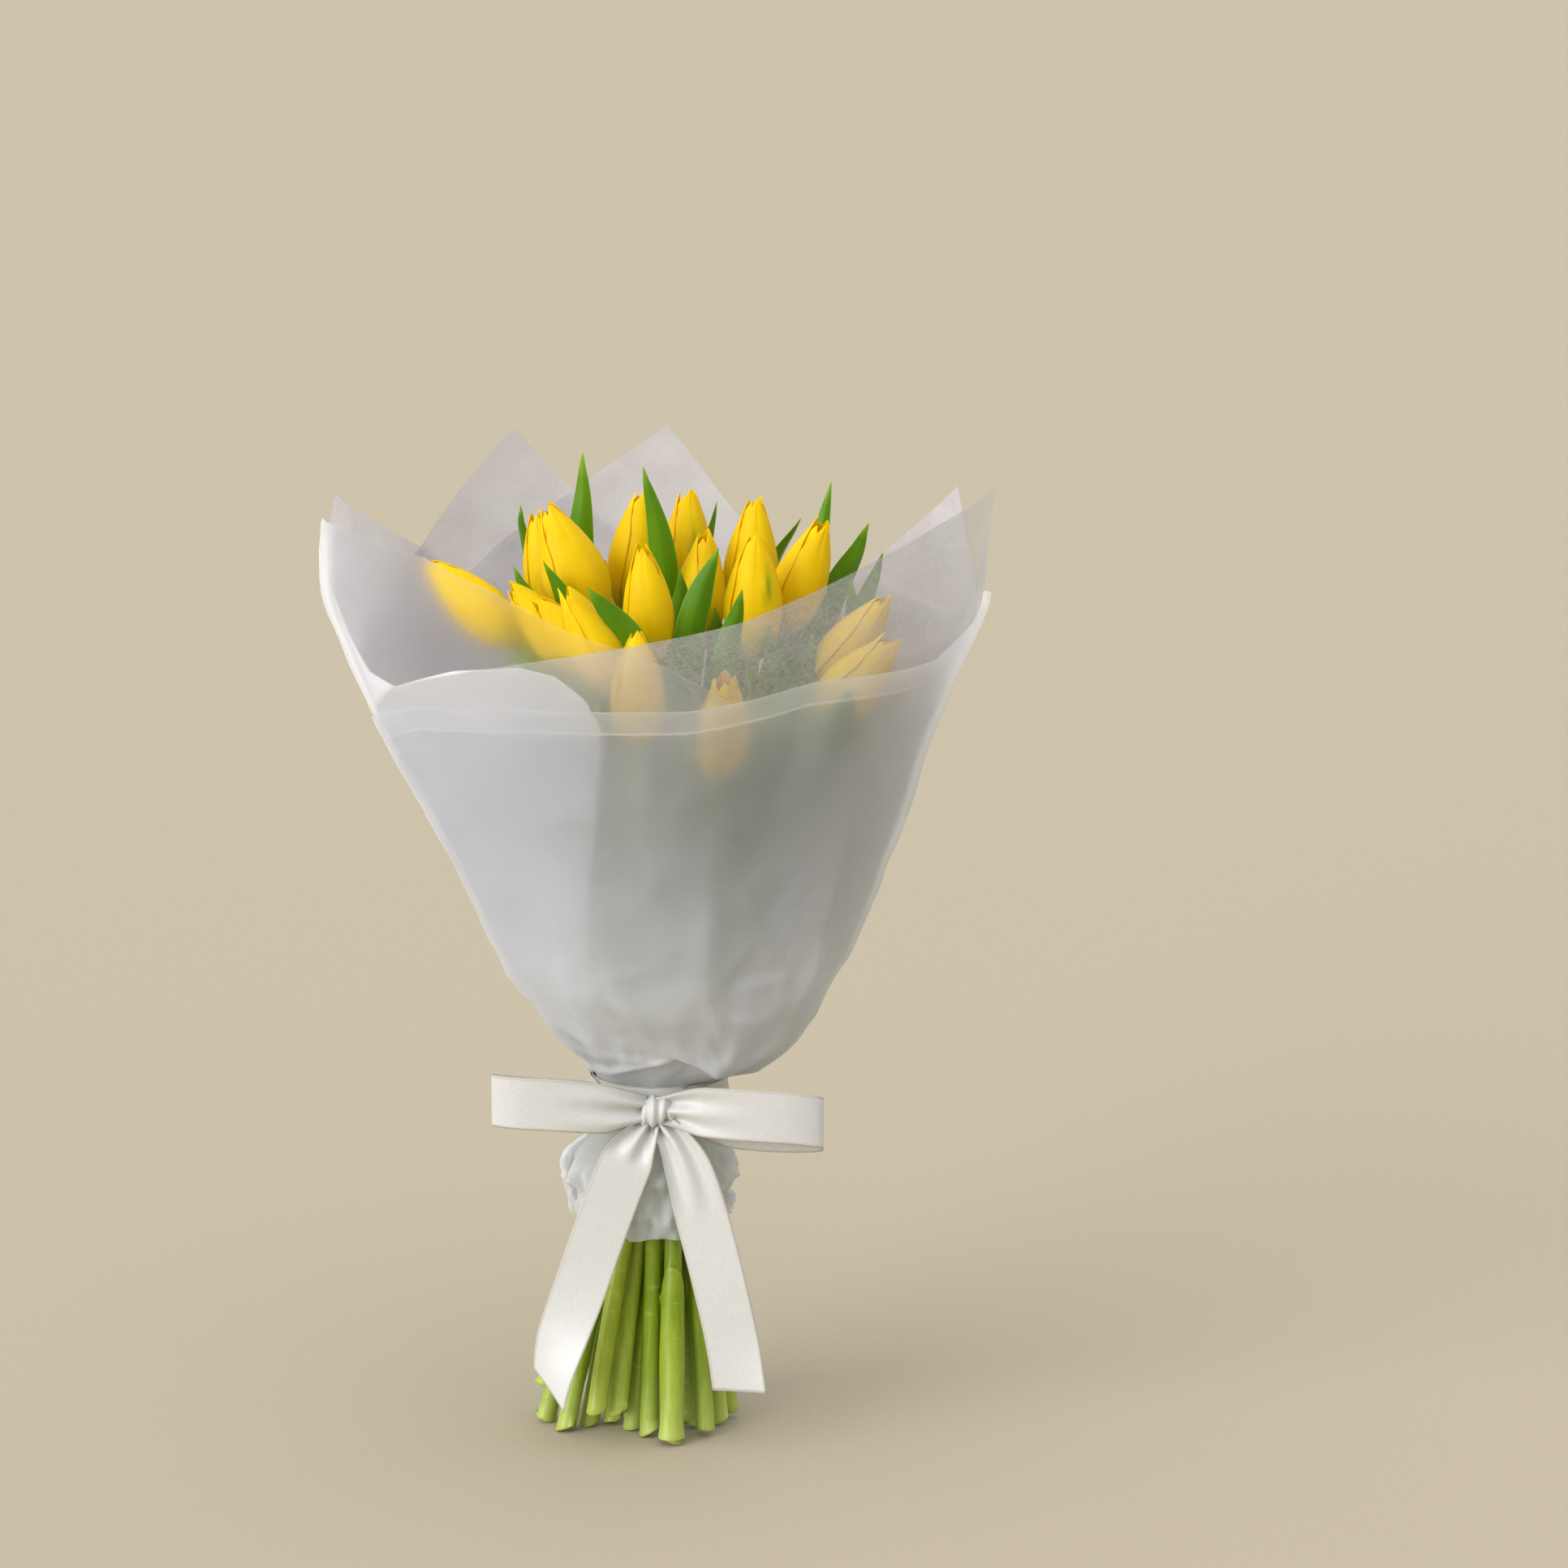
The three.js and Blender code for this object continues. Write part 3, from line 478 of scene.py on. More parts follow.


# Fibrous tissue: long fibres bonded at random over a thin veil, nearly clear between them. A fibre
# is 0.02 mm thick and up to 20 mm long; the strands here are clumps of them, 0.4 mm wide, so that
# they show. The heavy grade behind and at the sides is whiter and closes up. The open grade in front
# is greyer than the tissue's own white: painted shade.
def tissue_material(name, thin_veil, thick_veil, strand_cover, light, dark):
    material, add = new_material(name)
    uv = add("UVMap", uv_map="UVMap")
    strands = None
    for turn in (0.35, 1.3, 2.45):
        run = add("Mapping", {"Vector": uv, "Rotation": (0, 0, turn)})
        run = add("Mapping", {"Vector": run, "Location": (turn, turn, turn), "Scale": (880, 95, 1)})
        strand = add("TexNoise", {"Vector": run, "Scale": 1.0})
        strand = add("ValToRGB", {0: strand}, ((0.46, 0.0), (0.5, 1.0), (0.54, 0.0)))
        strands = add("Math", {0: strands, 1: strand}, operation="MAXIMUM") if strands else strand
    cloud = add("TexNoise", {"Vector": add("TexCoord").outputs["Object"], "Scale": 45.0, "Detail": 4.0})
    body = add("ValToRGB", {0: cloud}, ((0.3, dark), (0.7, light)))
    relief = add("Bump", {"Height": strands, "Strength": 0.2, "Distance": 0.0002})
    skin = add("BsdfPrincipled", {"Base Color": body, "Roughness": 0.7, "Specular IOR Level": 0.3,
                                  "Normal": relief})
    veil = add("ValToRGB", {0: cloud}, ((0.3, thin_veil), (0.7, thick_veil)))
    cover = add("Mix", {0: strands, 2: veil, 3: strand_cover})
    tissue = add("MixShader", {0: cover, 1: add("BsdfTransparent"), 2: glowing(add, 0.5, skin, body)})
    add("OutputMaterial", {"Surface": tissue})
    return material


# Double-faced satin ribbon: ivory polyester, floats running along it, a corded picot selvedge
# with a loop every 0.8 mm.
def satin_material():
    material, add = new_material("ivory_satin")
    uv, _, aside = strip_place(add)
    floats = add("TexNoise", {"Vector": add("Mapping", {"Vector": uv, "Scale": (90, 8, 1)}), "Scale": 1.0})
    body = add("ValToRGB", {0: floats}, ((0.3, "#D0CFCC"), (0.7, "#DDDCDA")))
    cord = add("ValToRGB", {0: aside}, ((0.462, 0.0), (0.474, 1.0)))
    loops = add("TexWave", {"Vector": add("Mapping", {"Vector": uv, "Scale": (0, 31, 0)}),
                            "Scale": 3.2 / 6.2832}, bands_direction="Y").outputs["Fac"]
    loops = add("Math", {0: loops, 1: cord}, operation="MULTIPLY")
    inner_edge = add("ValToRGB", {0: aside}, ((0.445, 0.0), (0.455, 0.55), (0.465, 0.0)))
    for where, colour in ((loops, "#CFC6B2"), (inner_edge, "#B9AE95")):
        body = add("Mix", {0: where, 6: body, 7: colour}, data_type="RGBA")
    gaps = add("Math", {0: cord, 1: loops}, operation="SUBTRACT")
    relief = add("Bump", {"Height": gaps, "Strength": 0.6, "Distance": 0.0004})
    relief = add("Bump", {"Height": floats, "Strength": 0.12, "Distance": 0.0002, "Normal": relief})
    skin = add("BsdfPrincipled", {
        "Base Color": body, "Roughness": 0.34, "IOR": 1.5, "Anisotropic": 0.55, "Anisotropic Rotation": 0.25,
        "Sheen Weight": 0.25, "Sheen Roughness": 0.4, "Normal": relief,
        "Tangent": add("Tangent", direction_type="UV_MAP", uv_map="UVMap")})
    add("OutputMaterial", {"Surface": glowing(add, 0.12, skin, body)})
    return material


# Natural rubber band: matt tan with a bloom of talc.
def rubber_material():
    material, add = new_material("natural_rubber")
    talc = add("TexNoise", {"Vector": add("TexCoord").outputs["Object"], "Scale": 400.0, "Detail": 3.0})
    body = add("ValToRGB", {0: talc}, ((0.4, "#A98F63"), (0.65, "#C9B58F")))
    add("OutputMaterial", {"Surface": add("BsdfPrincipled", {"Base Color": body, "Roughness": 0.75})})
    return material


# Studio board: dead matt paint, a shade darker than it looks under the lights.
def backdrop_material():
    material, add = new_material("painted_studio_board")
    grain = add("TexNoise", {"Vector": add("TexCoord").outputs["Object"], "Scale": 300.0})
    body = add("ValToRGB", {0: grain}, ((0.3, "#AEA38C"), (0.7, "#B0A58E")))
    paint = add("BsdfPrincipled", {"Base Color": body, "Roughness": 0.9, "Specular IOR Level": 0.1})
    add("OutputMaterial", {"Surface": paint})
    return material


PETAL, LEAF, STEM, CUT = petal_material(), leaf_material(), stem_material(), cut_material()
SATIN = satin_material()
FILM_SINGLE = film_material("frosted_film", 1.06, (0, 0.13), (0.75, 0.04), (50, 0.08), (100, 0.16),
                            (250, 0.3))
# The front film's top edge is folded over, 10 mm deep, and ends in a hem line.
FILM_FOLDED = film_material("frosted_film_folded_edge", 1.17, (0, 0.6), (0.75, 0.36), (10.125, 0.36),
                            (10.375, 0.7), (11.5, 0.7), (11.75, 0.2), (62.5, 0.34), (112.5, 0.5),
                            (155, 0.8), (250, 0.76))
# The open tissue's grey body is painted shade, darker than the tissue's own white.
OPEN_TISSUE = tissue_material("open_fibrous_tissue", 0.42, 0.52, 0.7, "#CBCACA", "#BFBDBD")
HEAVY_TISSUE = tissue_material("heavy_fibrous_tissue", 0.84, 0.92, 0.98, "#E0DDE1", "#D4D0D4")
# The doubled part's near-white body is partly its doubled layer and partly painted light on the lit front
# left.
DOUBLED_AND_LIT_TISSUE = tissue_material("doubled_fibrous_tissue_painted_light", 0.95, 0.98, 0.99, "#FCFCFF", "#F7F8FB")


# ---- where each tulip goes ----
class Tulip:
    def __init__(self, number, tip, lean, towards, length, width, turn, foot):
        self.number, self.lean = number, lean
        self.length, self.radius, self.turn = length, width / 2, turn
        self.axis = outward(towards, math.sin(math.radians(lean)), math.cos(math.radians(lean)))
        self.base = Vector(tip) - self.axis * length
        self.foot = Vector(foot)
        self.right = self.axis.cross(Vector((0, -1, 0))).normalized()
        self.front = self.right.cross(self.axis).normalized()


tulips = [Tulip(k + 1, *row) for k, row in enumerate(TULIPS)]


# The stems are drawn in to the tie in 500 steps of 1.5 % each, and then only pushed apart.
DRAWN_STEPS, STEPS, DRAW = 500, 600, 0.985


def neck_places():
    """Places of the stems in the tie, as in the solids."""
    spacing = 2 * STEM_RADIUS + STEM_GAP
    places = [Vector((0.25 * (t.base.x + t.foot.x), 0.25 * (t.base.y + t.foot.y))) for t in tulips]
    for step in range(STEPS):
        middle = sum(places, Vector((0, 0))) / len(places)
        places = [(place - middle) * (DRAW if step < DRAWN_STEPS else 1) for place in places]
        for i, place in enumerate(places):
            for other in places[i + 1:]:
                apart = other - place
                lack = spacing - apart.length
                if lack > 0:
                    apart = apart.normalized() * (lack / 2 + 0.001)
                    place -= apart
                    other += apart
    return places


for tulip, spot in zip(tulips, neck_places()):
    tulip.neck = Vector((spot.x, spot.y, NECK_HEIGHT))
    start = tulip.foot.lerp(tulip.neck, -2 * STEM_RADIUS / NECK_HEIGHT)
    straight = max(14, 60 - 1.4 * tulip.lean)
    lower = (start, tulip.foot.lerp(tulip.neck, 0.45), tulip.neck - Vector((0, 0, 45)), tulip.neck)
    upper = (tulip.neck, tulip.neck + Vector((0, 0, 60)), tulip.base - tulip.axis * straight,
             tulip.base + tulip.axis)
    line = [bezier(*lower, k / 60) for k in range(60)] + [bezier(*upper, k / 90) for k in range(91)]
    tulip.line = [point for k, point in enumerate(line) if k == 0 or point.z > line[k - 1].z]
    tulip.heights = [point.z for point in tulip.line]


def stem_point(tulip, height):
    k = step_at(tulip.heights, height)
    a, b = tulip.line[k - 1], tulip.line[k]
    return a.lerp(b, clamp((height - a.z) / (b.z - a.z)))


# ---- blooms ----
BLOOM_OUTLINE = ((0, 0.24), (0.06, 0.46), (0.14, 0.7), (0.27, 0.92), (0.42, 1), (0.6, 0.87), (0.78, 0.58),
                 (0.9, 0.31), (1, 0.05))
# Half width of a petal in degrees round the bloom, from its base to its tip.
PETAL_HALF = ((0, 42), (0.12, 56), (0.4, 67), (0.7, 69), (0.88, 60), (0.96, 40), (1, 5))
# Half width near a petal's tip as a part of the bloom's radius.
TIP_WIDTH = ((0.6, 0.8), (0.75, 0.6), (0.86, 0.38), (0.94, 0.18), (1, 0.012))
# How far the tips stand apart, in millimetres, where it isn't about one.
TIP_SPREAD = {17: 3.6, 18: 3.0, 14: 1.8, 10: 2.0, 4: 1.6}
# Green streaks on outer petals: middle across and along, half width and half length.
GREEN_STREAKS = {13: (0.72, 0.62, 0.09, 0.2), 10: (0.45, 0.5, 0.07, 0.3)}


def petal(shape, tulip, azimuth, outer, top, chance, green):
    reach = 0.975 if outer else 0.9
    flick = TIP_SPREAD.get(tulip.number, 0.3 + 1.1 * chance.random()) * (1 if outer else 0.3)
    sway = chance.uniform(-9, 9)
    keel = 0.03 if outer else 0.02
    wave = chance.uniform(0, 6.28)

    def place(u, v):
        across = 2 * u - 1
        part = 0.02 + (top - 0.02) * v
        half = math.radians(eased(PETAL_HALF, v) * (1 if outer else 0.92))
        turn = math.radians(azimuth + sway * v ** 3)
        radius = reach * eased(BLOOM_OUTLINE, part)
        radius *= 1 + 0.03 * across * ramp(0.02, 0.3, v) if outer else 1
        radius -= keel * bump_at(0, 0.22, across) * ramp(0.25, 0.8, v)
        radius += 0.014 * math.sin(8 * v + wave) * across * across
        radius = max(radius * tulip.radius, 1.3 if outer else 0.6)
        side, out = radius * math.sin(across * half), radius * math.cos(across * half)
        flat = ramp(0.62, 0.92, v)
        wide = across * eased(TIP_WIDTH, v) * tulip.radius * (1 if outer else 0.9)
        side = mix(side, wide, flat)
        out = mix(out, radius - wide * wide / (2.4 * max(radius, 1.8)), flat) + flick * ramp(0.82, 1, v)
        across_way = tulip.right * math.cos(turn) - tulip.front * math.sin(turn)
        out_way = tulip.right * math.sin(turn) + tulip.front * math.cos(turn)
        return tulip.base + tulip.axis * (part * tulip.length) + across_way * side + out_way * out

    _, faces = lay_grid(shape, 14, 20, place)
    if green:
        u0, v0, wide, tall = green
        streak = shape.verts.layers.float["streak"]
        uv = shape.loops.layers.uv["UVMap"]
        for face in faces:
            for loop in face.loops:
                u, v = loop[uv].uv
                lean = u - u0 - 0.35 * (v - v0)
                loop.vert[streak] = bump_at(0, wide, lean) * bump_at(v0, tall, v)


def bloom(tulip):
    chance = random.Random(70 + tulip.number)
    shape = new_shape()
    shape.verts.layers.float.new("streak")
    for turn in (60, 180, 300):
        petal(shape, tulip, tulip.turn + turn, False, chance.uniform(0.9, 0.95), chance, None)
    tops = chance.sample((1.0, 0.98, 0.96), 3)
    for k, turn in enumerate((0, 120, 240)):
        green = GREEN_STREAKS.get(tulip.number) if k != 1 else None
        petal(shape, tulip, tulip.turn + turn, True, tops[k], chance, green)
    name = f"tulip_bloom_{tulip.number:02d}"
    finish(shape, f"fine_{name}", [PETAL], name, wall=0.45, levels=1)


# ---- leafy stems ----
# A leaf's half width along it, how deep it folds for its half width, and how far above its root it
# leaves the stem.
LEAF_OUTLINE = ((0, 0.3), (0.2, 0.62), (0.5, 1), (0.75, 0.8), (0.9, 0.42), (1, 0.03))
LEAF_FOLD = 0.4
LEAF_RISE = 22
# How far leaves keep off blooms and off other stems.
OFF_BLOOM, OFF_STEM = 1.0, 0.8


def kept_off(point, centre, distance):
    away = point - centre
    return centre + away.normalized() * distance if away.length < distance else point


def bend_clear(point, owner):
    """Moves a point of a leaf out of the blooms and the other stems, and inside the wrap."""
    moved = point.copy()
    for _ in range(3):
        for tulip in tulips:
            offset = moved - tulip.base
            height = offset.dot(tulip.axis)
            part = height / tulip.length
            if -0.05 < part < 1.03:
                centre = tulip.base + tulip.axis * height
                keep = eased(BLOOM_OUTLINE, part) * tulip.radius + OFF_BLOOM
                moved = kept_off(moved, centre, keep)
            if tulip is not owner and moved.z < tulip.base.z:
                moved = kept_off(moved, stem_point(tulip, moved.z), STEM_RADIUS + OFF_STEM)
    limit = wrap_point(azimuth_of(moved), moved.z, 1, 1.8)
    room = math.hypot(limit.x, limit.y) / max(math.hypot(moved.x, moved.y), 1e-6)
    if room < 1:
        moved = Vector((moved.x * room, moved.y * room, moved.z))
    return moved


def leaf(shape, tulip, root, bend, tip, width, facing, hook, chance):
    bend, tip = Vector(bend), Vector(tip)
    first = stem_point(tulip, root)
    rise = stem_point(tulip, root + LEAF_RISE)
    out = bend - rise
    out.z = 0
    out.normalize()
    points = [first, rise + out * (STEM_RADIUS + 1.2), bend, tip]
    twist = chance.uniform(-0.3, 0.3)
    wave, waves = chance.uniform(0, 6.28), chance.uniform(7, 12)

    def line(at):
        return spline(points, at)

    def place(u, v):
        across = 2 * u - 1
        course = tangent(line, v)
        look = out.lerp(outward(facing), ramp(0.2, 0.5, v)).normalized()
        side = course.cross(look).normalized()
        face = side.cross(course).normalized()
        swing = Matrix.Rotation(twist * ramp(0.4, 1, v), 3, course)
        side, face = swing @ side, swing @ face
        centre = line(v) - side * (hook * ramp(0.8, 1, v) ** 2)
        half = eased(LEAF_OUTLINE, v) * width / 2
        fold = LEAF_FOLD * half * (1 - 0.4 * ramp(0.8, 1, v)) * abs(across) ** 1.3
        ripple = half * (0.1 * math.sin(waves * v + wave) * max(0, across) ** 2
                         + 0.05 * math.sin(waves * v + wave + 2) * max(0, -across) ** 2)
        point = centre + side * (across * half * 0.95) - face * (fold + ripple)
        return bend_clear(point, tulip) if v > 0.2 else point

    set_tone(shape, lay_grid(shape, 8, 28, place)[0], chance.random())


def lower_leaf(shape, tulip, chance):
    """A broad leaf lower on the stem, inside the wrap."""
    root = chance.uniform(172, 205)
    spread = stem_point(tulip, 330)
    azimuth = math.degrees(math.atan2(spread.x, -spread.y)) + chance.uniform(-70, 70)
    out = outward(azimuth)
    reach = chance.uniform(110, 185)
    bend = stem_point(tulip, root + reach * 0.6) + out * chance.uniform(7, 15)
    tip = stem_point(tulip, root + reach) + out * chance.uniform(8, 20)
    tip.z = root + reach
    leaf(shape, tulip, root, bend, tip, chance.uniform(20, 30), azimuth + chance.uniform(-40, 40),
         chance.uniform(-4, 4), chance)


def stem_width(tulip, height):
    top = tulip.base.z
    return eased(((0, 1.08), (60, 1.0), (NECK_HEIGHT, 0.93), (top - 30, 0.78), (top - 4, 0.74),
                  (top + 4, 0.95)), height)


SIDES, STEM_ROWS = 16, 56


def stem(shape, tulip, chance):
    """A round stem along its line, with a shallow hollow in its ragged cut end."""
    cut, top = tulip.foot.z, tulip.heights[-1]
    heights = [cut, cut + 0.6] + [mix(cut + 3, top, k / STEM_ROWS) for k in range(STEM_ROWS + 1)]
    rows = len(heights) - 1
    wobble, slope = chance.uniform(0, 6.28), chance.uniform(0.6, 2.4)
    jags = [chance.uniform(0, 0.5) for _ in range(SIDES)]

    def place(u, v):
        height = heights[round(v * rows)]
        centre = stem_point(tulip, height)
        ahead = stem_point(tulip, height + 1.5) - stem_point(tulip, height - 1.5)
        course = ahead.normalized() if height > cut + 2 else Vector((0, 0, 1))
        side = course.cross(Vector((0, -1, 0))).normalized()
        front = side.cross(course)
        angle = 2 * math.pi * u
        radius = STEM_RADIUS * stem_width(tulip, height)
        radius *= 1 + 0.025 * math.sin(2 * angle + wobble) + 0.012 * math.sin(height * 0.21 + wobble)
        if height <= cut + 0.7:
            column = round(u * SIDES) % SIDES
            centre = centre + Vector((0, 0, slope * (1 + math.cos(angle + wobble)) + jags[column]))
            radius *= 0.97 if height <= cut + 0.1 else 1.02 + 0.1 * jags[column]
        return centre + side * (radius * math.cos(angle)) + front * (radius * math.sin(angle))

    corners, _ = lay_grid(shape, SIDES, rows, place, slot=1)
    set_tone(shape, corners, chance.random())
    bmesh.ops.remove_doubles(shape, verts=corners, dist=0.01)
    rim = [edge for edge in shape.edges if edge.is_boundary and all(
        vertex.co.z < cut + 6 for vertex in edge.verts)]
    end = bmesh.ops.edgeloop_fill(shape, edges=rim)["faces"]
    rings = [bmesh.ops.inset_region(shape, faces=end, thickness=wide, depth=0)["faces"]
             for wide in (0.5, 1.6)]
    for face in [*end, *rings[0], *rings[1]]:
        face.material_index = 2
    for face in end:
        for vertex in face.verts:
            vertex.co.z += 0.5


# The stem in front still wears the foot of a leaf, torn off at these heights round the stem.
SHEATHED = 17
TEAR = ((0, 62), (60, 66), (105, 74), (150, 82), (200, 84), (235, 79), (262, 70), (290, 66), (360, 62))


def sheath(shape, tulip):
    def place(u, v):
        turn = 2 * math.pi * (1.08 * u - 0.04)
        side = math.degrees(turn) % 360
        ear = bump_at(292, 24, side) * ramp(0.86, 1, v)
        height = mix(3.5, eased(TEAR, side) + 7 * ear, v)
        centre = stem_point(tulip, height)
        radius = STEM_RADIUS * 1.34 + 0.5 * u + 0.5 * bump_at(0, 0.08, v) + 0.25 * math.sin(9 * v + 2 * turn)
        radius += 1.6 * ramp(0.9, 1, v) * bump_at(290, 40, side) - 0.4 * ramp(0.9, 1, v)
        return centre + Vector((radius * math.sin(turn), radius * math.cos(turn), 0))

    set_tone(shape, lay_grid(shape, 30, 40, place, slot=1)[0], 0.62)


def leafy_stem(tulip):
    chance = random.Random(300 + tulip.number)
    shape = new_shape()
    shape.verts.layers.float.new("tone")
    stem(shape, tulip, chance)
    if tulip.number == SHEATHED:
        sheath(shape, tulip)
    for number, *form in LEAVES:
        if number == tulip.number:
            leaf(shape, tulip, *form, chance)
    for _ in range(1 + tulip.number % 2):
        lower_leaf(shape, tulip, chance)
    name = f"tulip_stem_{tulip.number:02d}"
    finish(shape, f"fine_{name}", [LEAF, STEM, CUT], name)


# ---- the wrap ----
def azimuth_of(point):
    ratio = along(WRAP_DEPTH_RATIO, point.z)
    shift = along(WRAP_SIDE_SHIFT, point.z)
    return math.degrees(math.atan2(point.x - shift, -point.y / ratio))


# Where the sheets break over the ribbon they fall into flat facets: each corner's azimuth low
# down and higher up. Every layer has the same ones, so the layers lie in each other.
FACETS = ((-178, -168), (-139, -150), (-118, -112), (-90, -90), (-63, -71), (-42, -36), (-8, -19),
          (22, 12), (47, 55), (88, 90), (121, 112), (143, 152))
FACET_DEPTH = ((172, 0), (184, 1.3), (226, 1.4), (262, 0.8), (310, 0.25), (470, 0))


def facet(azimuth, height):
    """Radius of the faceted collar as a part of the round one."""
    share = ramp(180, 236, height)
    corners = [mix(low, high, share) for low, high in FACETS]
    corners = [corners[-1] - 360, *corners, corners[0] + 360]
    k = step_at(corners, azimuth)
    half = (corners[k] - corners[k - 1]) / 2
    middle = (corners[k] + corners[k - 1]) / 2
    chord = math.cos(math.radians(half)) / math.cos(math.radians(azimuth - middle))
    return 1 + (chord - 1) * along(FACET_DEPTH, height)


# Gathers at the ribbon: many narrow pleats, deepest just clear of it. A pleat is PLEAT_HALF degrees
# wide to each side.
PLEAT_HALF = 9
pleat_chance = random.Random(12)
PLEATS = [(start + pleat_chance.uniform(-4, 4), pleat_chance.uniform(-0.3, 0.3),
           pleat_chance.uniform(0.3, 1.0)) for start in range(-180, 180, 12)]
GATHER = ((102, 2.2), (112, 2.6), (130, 2.6), (143, 1.2), (149, 0.5), (171, 0.5), (177, 1.8),
          (188, 2.2), (205, 1.0), (235, 0.2), (260, 0))
# How strongly the sheets are crushed, by height.
CRUSHED = ((102, 3.4), (126, 3.8), (146, 0), (174, 0), (190, 1.6), (222, 1.2), (262, 0.7), (330, 0.5),
           (470, 0.4))


def pleat_depth(azimuth, height):
    total = 0
    for start, drift, depth in PLEATS:
        away = (azimuth - start - drift * (height - NECK_HEIGHT) + 180) % 360 - 180
        if abs(away) < PLEAT_HALF:
            total += depth * (1 - abs(away) / PLEAT_HALF)
    return (total - 0.5) * along(GATHER, height)


def crumple(azimuth, height):
    """Crushed film: sharp ridges with flats between, strong below the ribbon."""
    amount = along(CRUSHED, height)
    if amount == 0:
        return 0
    turn = math.radians(azimuth)
    size, tall = (2.9, 19) if height < NECK_HEIGHT else (1.9, 42)
    spot = Vector((math.sin(turn) * size, math.cos(turn) * size, height / tall))
    fine = spot * 2.4 + Vector((5, 3, 7))
    return amount * (1.5 - 3.2 * abs(noise.noise(spot)) - 1.9 * abs(noise.noise(fine)))


def wave(azimuth, height):
    """Broad soft waves of the open wrap."""
    turn = math.radians(azimuth)
    amount = ramp(200, 300, height)
    return amount * (1.1 * math.sin(3 * turn + 0.6 + height * 0.006) + 0.7 * math.sin(5 * turn + 2.1)
                     + 0.5 * math.sin(7 * turn - height * 0.012))


# A table of the room that the blooms need has a place every 3 degrees and every 5 mm.
ROOM_TURN, ROOM_RISE = 3, 5


def places_near(place, reach):
    return [((place[0] + di) % (360 // ROOM_TURN), place[1] + dj)
            for di in range(-reach, reach + 1) for dj in range(-reach, reach + 1)]


def bloom_room():
    """How far the sheets give way where a bloom presses on them."""
    need, wide = {}, {}
    for tulip in tulips:
        for step in range(1, 20):
            part = step / 20
            radius = tulip.radius * eased(BLOOM_OUTLINE, part)
            for turn in range(0, 360, 15):
                spin = math.radians(turn)
                point = (tulip.base + tulip.axis * (part * tulip.length)
                         + tulip.right * (radius * math.sin(spin)) + tulip.front * (radius * math.cos(spin)))
                azimuth = azimuth_of(point)
                away = math.hypot(point.x - eased(WRAP_SIDE_SHIFT, point.z),
                                  point.y / eased(WRAP_DEPTH_RATIO, point.z))
                lack = away + 0.8 - wrap_radius(azimuth, point.z, 2)
                if lack > 0:
                    key = (round(azimuth / ROOM_TURN) % (360 // ROOM_TURN), round(point.z / ROOM_RISE))
                    need[key] = max(need.get(key, 0), lack)
    for place, lack in need.items():
        for key in places_near(place, 4):
            wide[key] = max(wide.get(key, 0), lack)
    return {place: sum(wide.get(key, 0) for key in places_near(place, 3)) / 49
            for place in {key for spot in wide for key in places_near(spot, 3)}}


def room_at(azimuth, height):
    """The table's value, eased between its places."""
    a, h = azimuth / ROOM_TURN, height / ROOM_RISE
    i, j = math.floor(a), math.floor(h)
    return sum(share_a * share_h * BLOOM_ROOM.get(((i + di) % (360 // ROOM_TURN), j + dj), 0)
               for di, share_a in ((0, 1 - a + i), (1, a - i))
               for dj, share_h in ((0, 1 - h + j), (1, h - j)))


# Sharp folds: two ends as azimuth and height, how far the edge stands up and how wide it is.
FOLDS = ((0, 191, 26, 178, 2.6, 12), (26, 178, 62, 194, 2.4, 9), (62, 194, 76, 212, 1.4, 8),
         (26, 178, 12, 208, 1.3, 10), (-4, 190, -34, 178, 1.6, 10), (9, 258, -8, 242, 0.9, 9),
         (38, 248, 76, 258, 0.35, 14), (38, 262, 47, 277, 0.8, 8), (-50, 196, -60, 250, 0.8, 12),
         (-20, 196, -28, 232, 0.9, 10), (96, 186, 110, 226, 1.4, 10), (128, 226, 140, 190, 1.5, 10),
         (160, 188, 176, 240, 1.4, 12), (-172, 232, -150, 190, 1.5, 12), (-128, 190, -120, 236, 1.3, 10),
         (-100, 226, -88, 186, 1.2, 9))
# Millimetres to a degree where the folds lie.
DEGREE = 0.95


def fold_height(azimuth, height):
    total = 0
    for a0, h0, a1, h1, amount, width in FOLDS:
        dx, dy = (a1 - a0) * DEGREE, h1 - h0
        length = math.hypot(dx, dy)
        x, y = (azimuth - a0) * DEGREE, height - h0
        t = (x * dx + y * dy) / length ** 2
        if -0.15 < t < 1.15:
            side = (dx * y - dy * x) / length
            if 0 <= side < width:
                total += amount * (1 - side / width) ** 1.5 * ramp(-0.15, 0.2, t) * (1 - ramp(0.8, 1.15, t))
    return total


# Where the gathered sheets break outwards over the ribbon: azimuth with the height of that fold,
# and with its distance from the axis.
COLLAR_HEIGHT = ((-180, 173), (-120, 173), (-92, 170), (-60, 175), (-35, 177.5), (-12, 186), (1, 190.5),
                 (13, 185), (26, 179), (45, 178), (64, 176), (82, 171), (104, 172), (180, 173))
COLLAR_REACH = ((-180, 34), (-120, 34), (-92, 31), (-60, 37), (-35, 43), (-12, 50), (1, 54), (13, 53),
                (26, 51), (45, 51), (64, 50), (82, 46), (104, 40), (125, 34), (180, 34))


def collar_row(azimuth, height):
    """A level of the sheets, drawn up or down so that one row follows the fold over the ribbon."""
    if not 148 < height < 214:
        return height
    return along(((148, 148), (172, along(COLLAR_HEIGHT, azimuth)), (214, 214)), height)


def wrap_inset(azimuth, height, layer):
    """Depth of a layer below the outside. In front the sheets are drawn in, close on the blooms."""
    pitch = along(((172, SHEET_PITCH_NECK), (300, SHEET_PITCH_TOP)), height)
    loose = (SHEETS - 1 - layer) * pitch
    close = (SHEETS - 1) * pitch - 0.6 - 0.8 * (layer - 2)
    return mix(loose, close, ramp(200, 290, height) * ramp(-75, -50, azimuth) * (1 - ramp(62, 89, azimuth)))


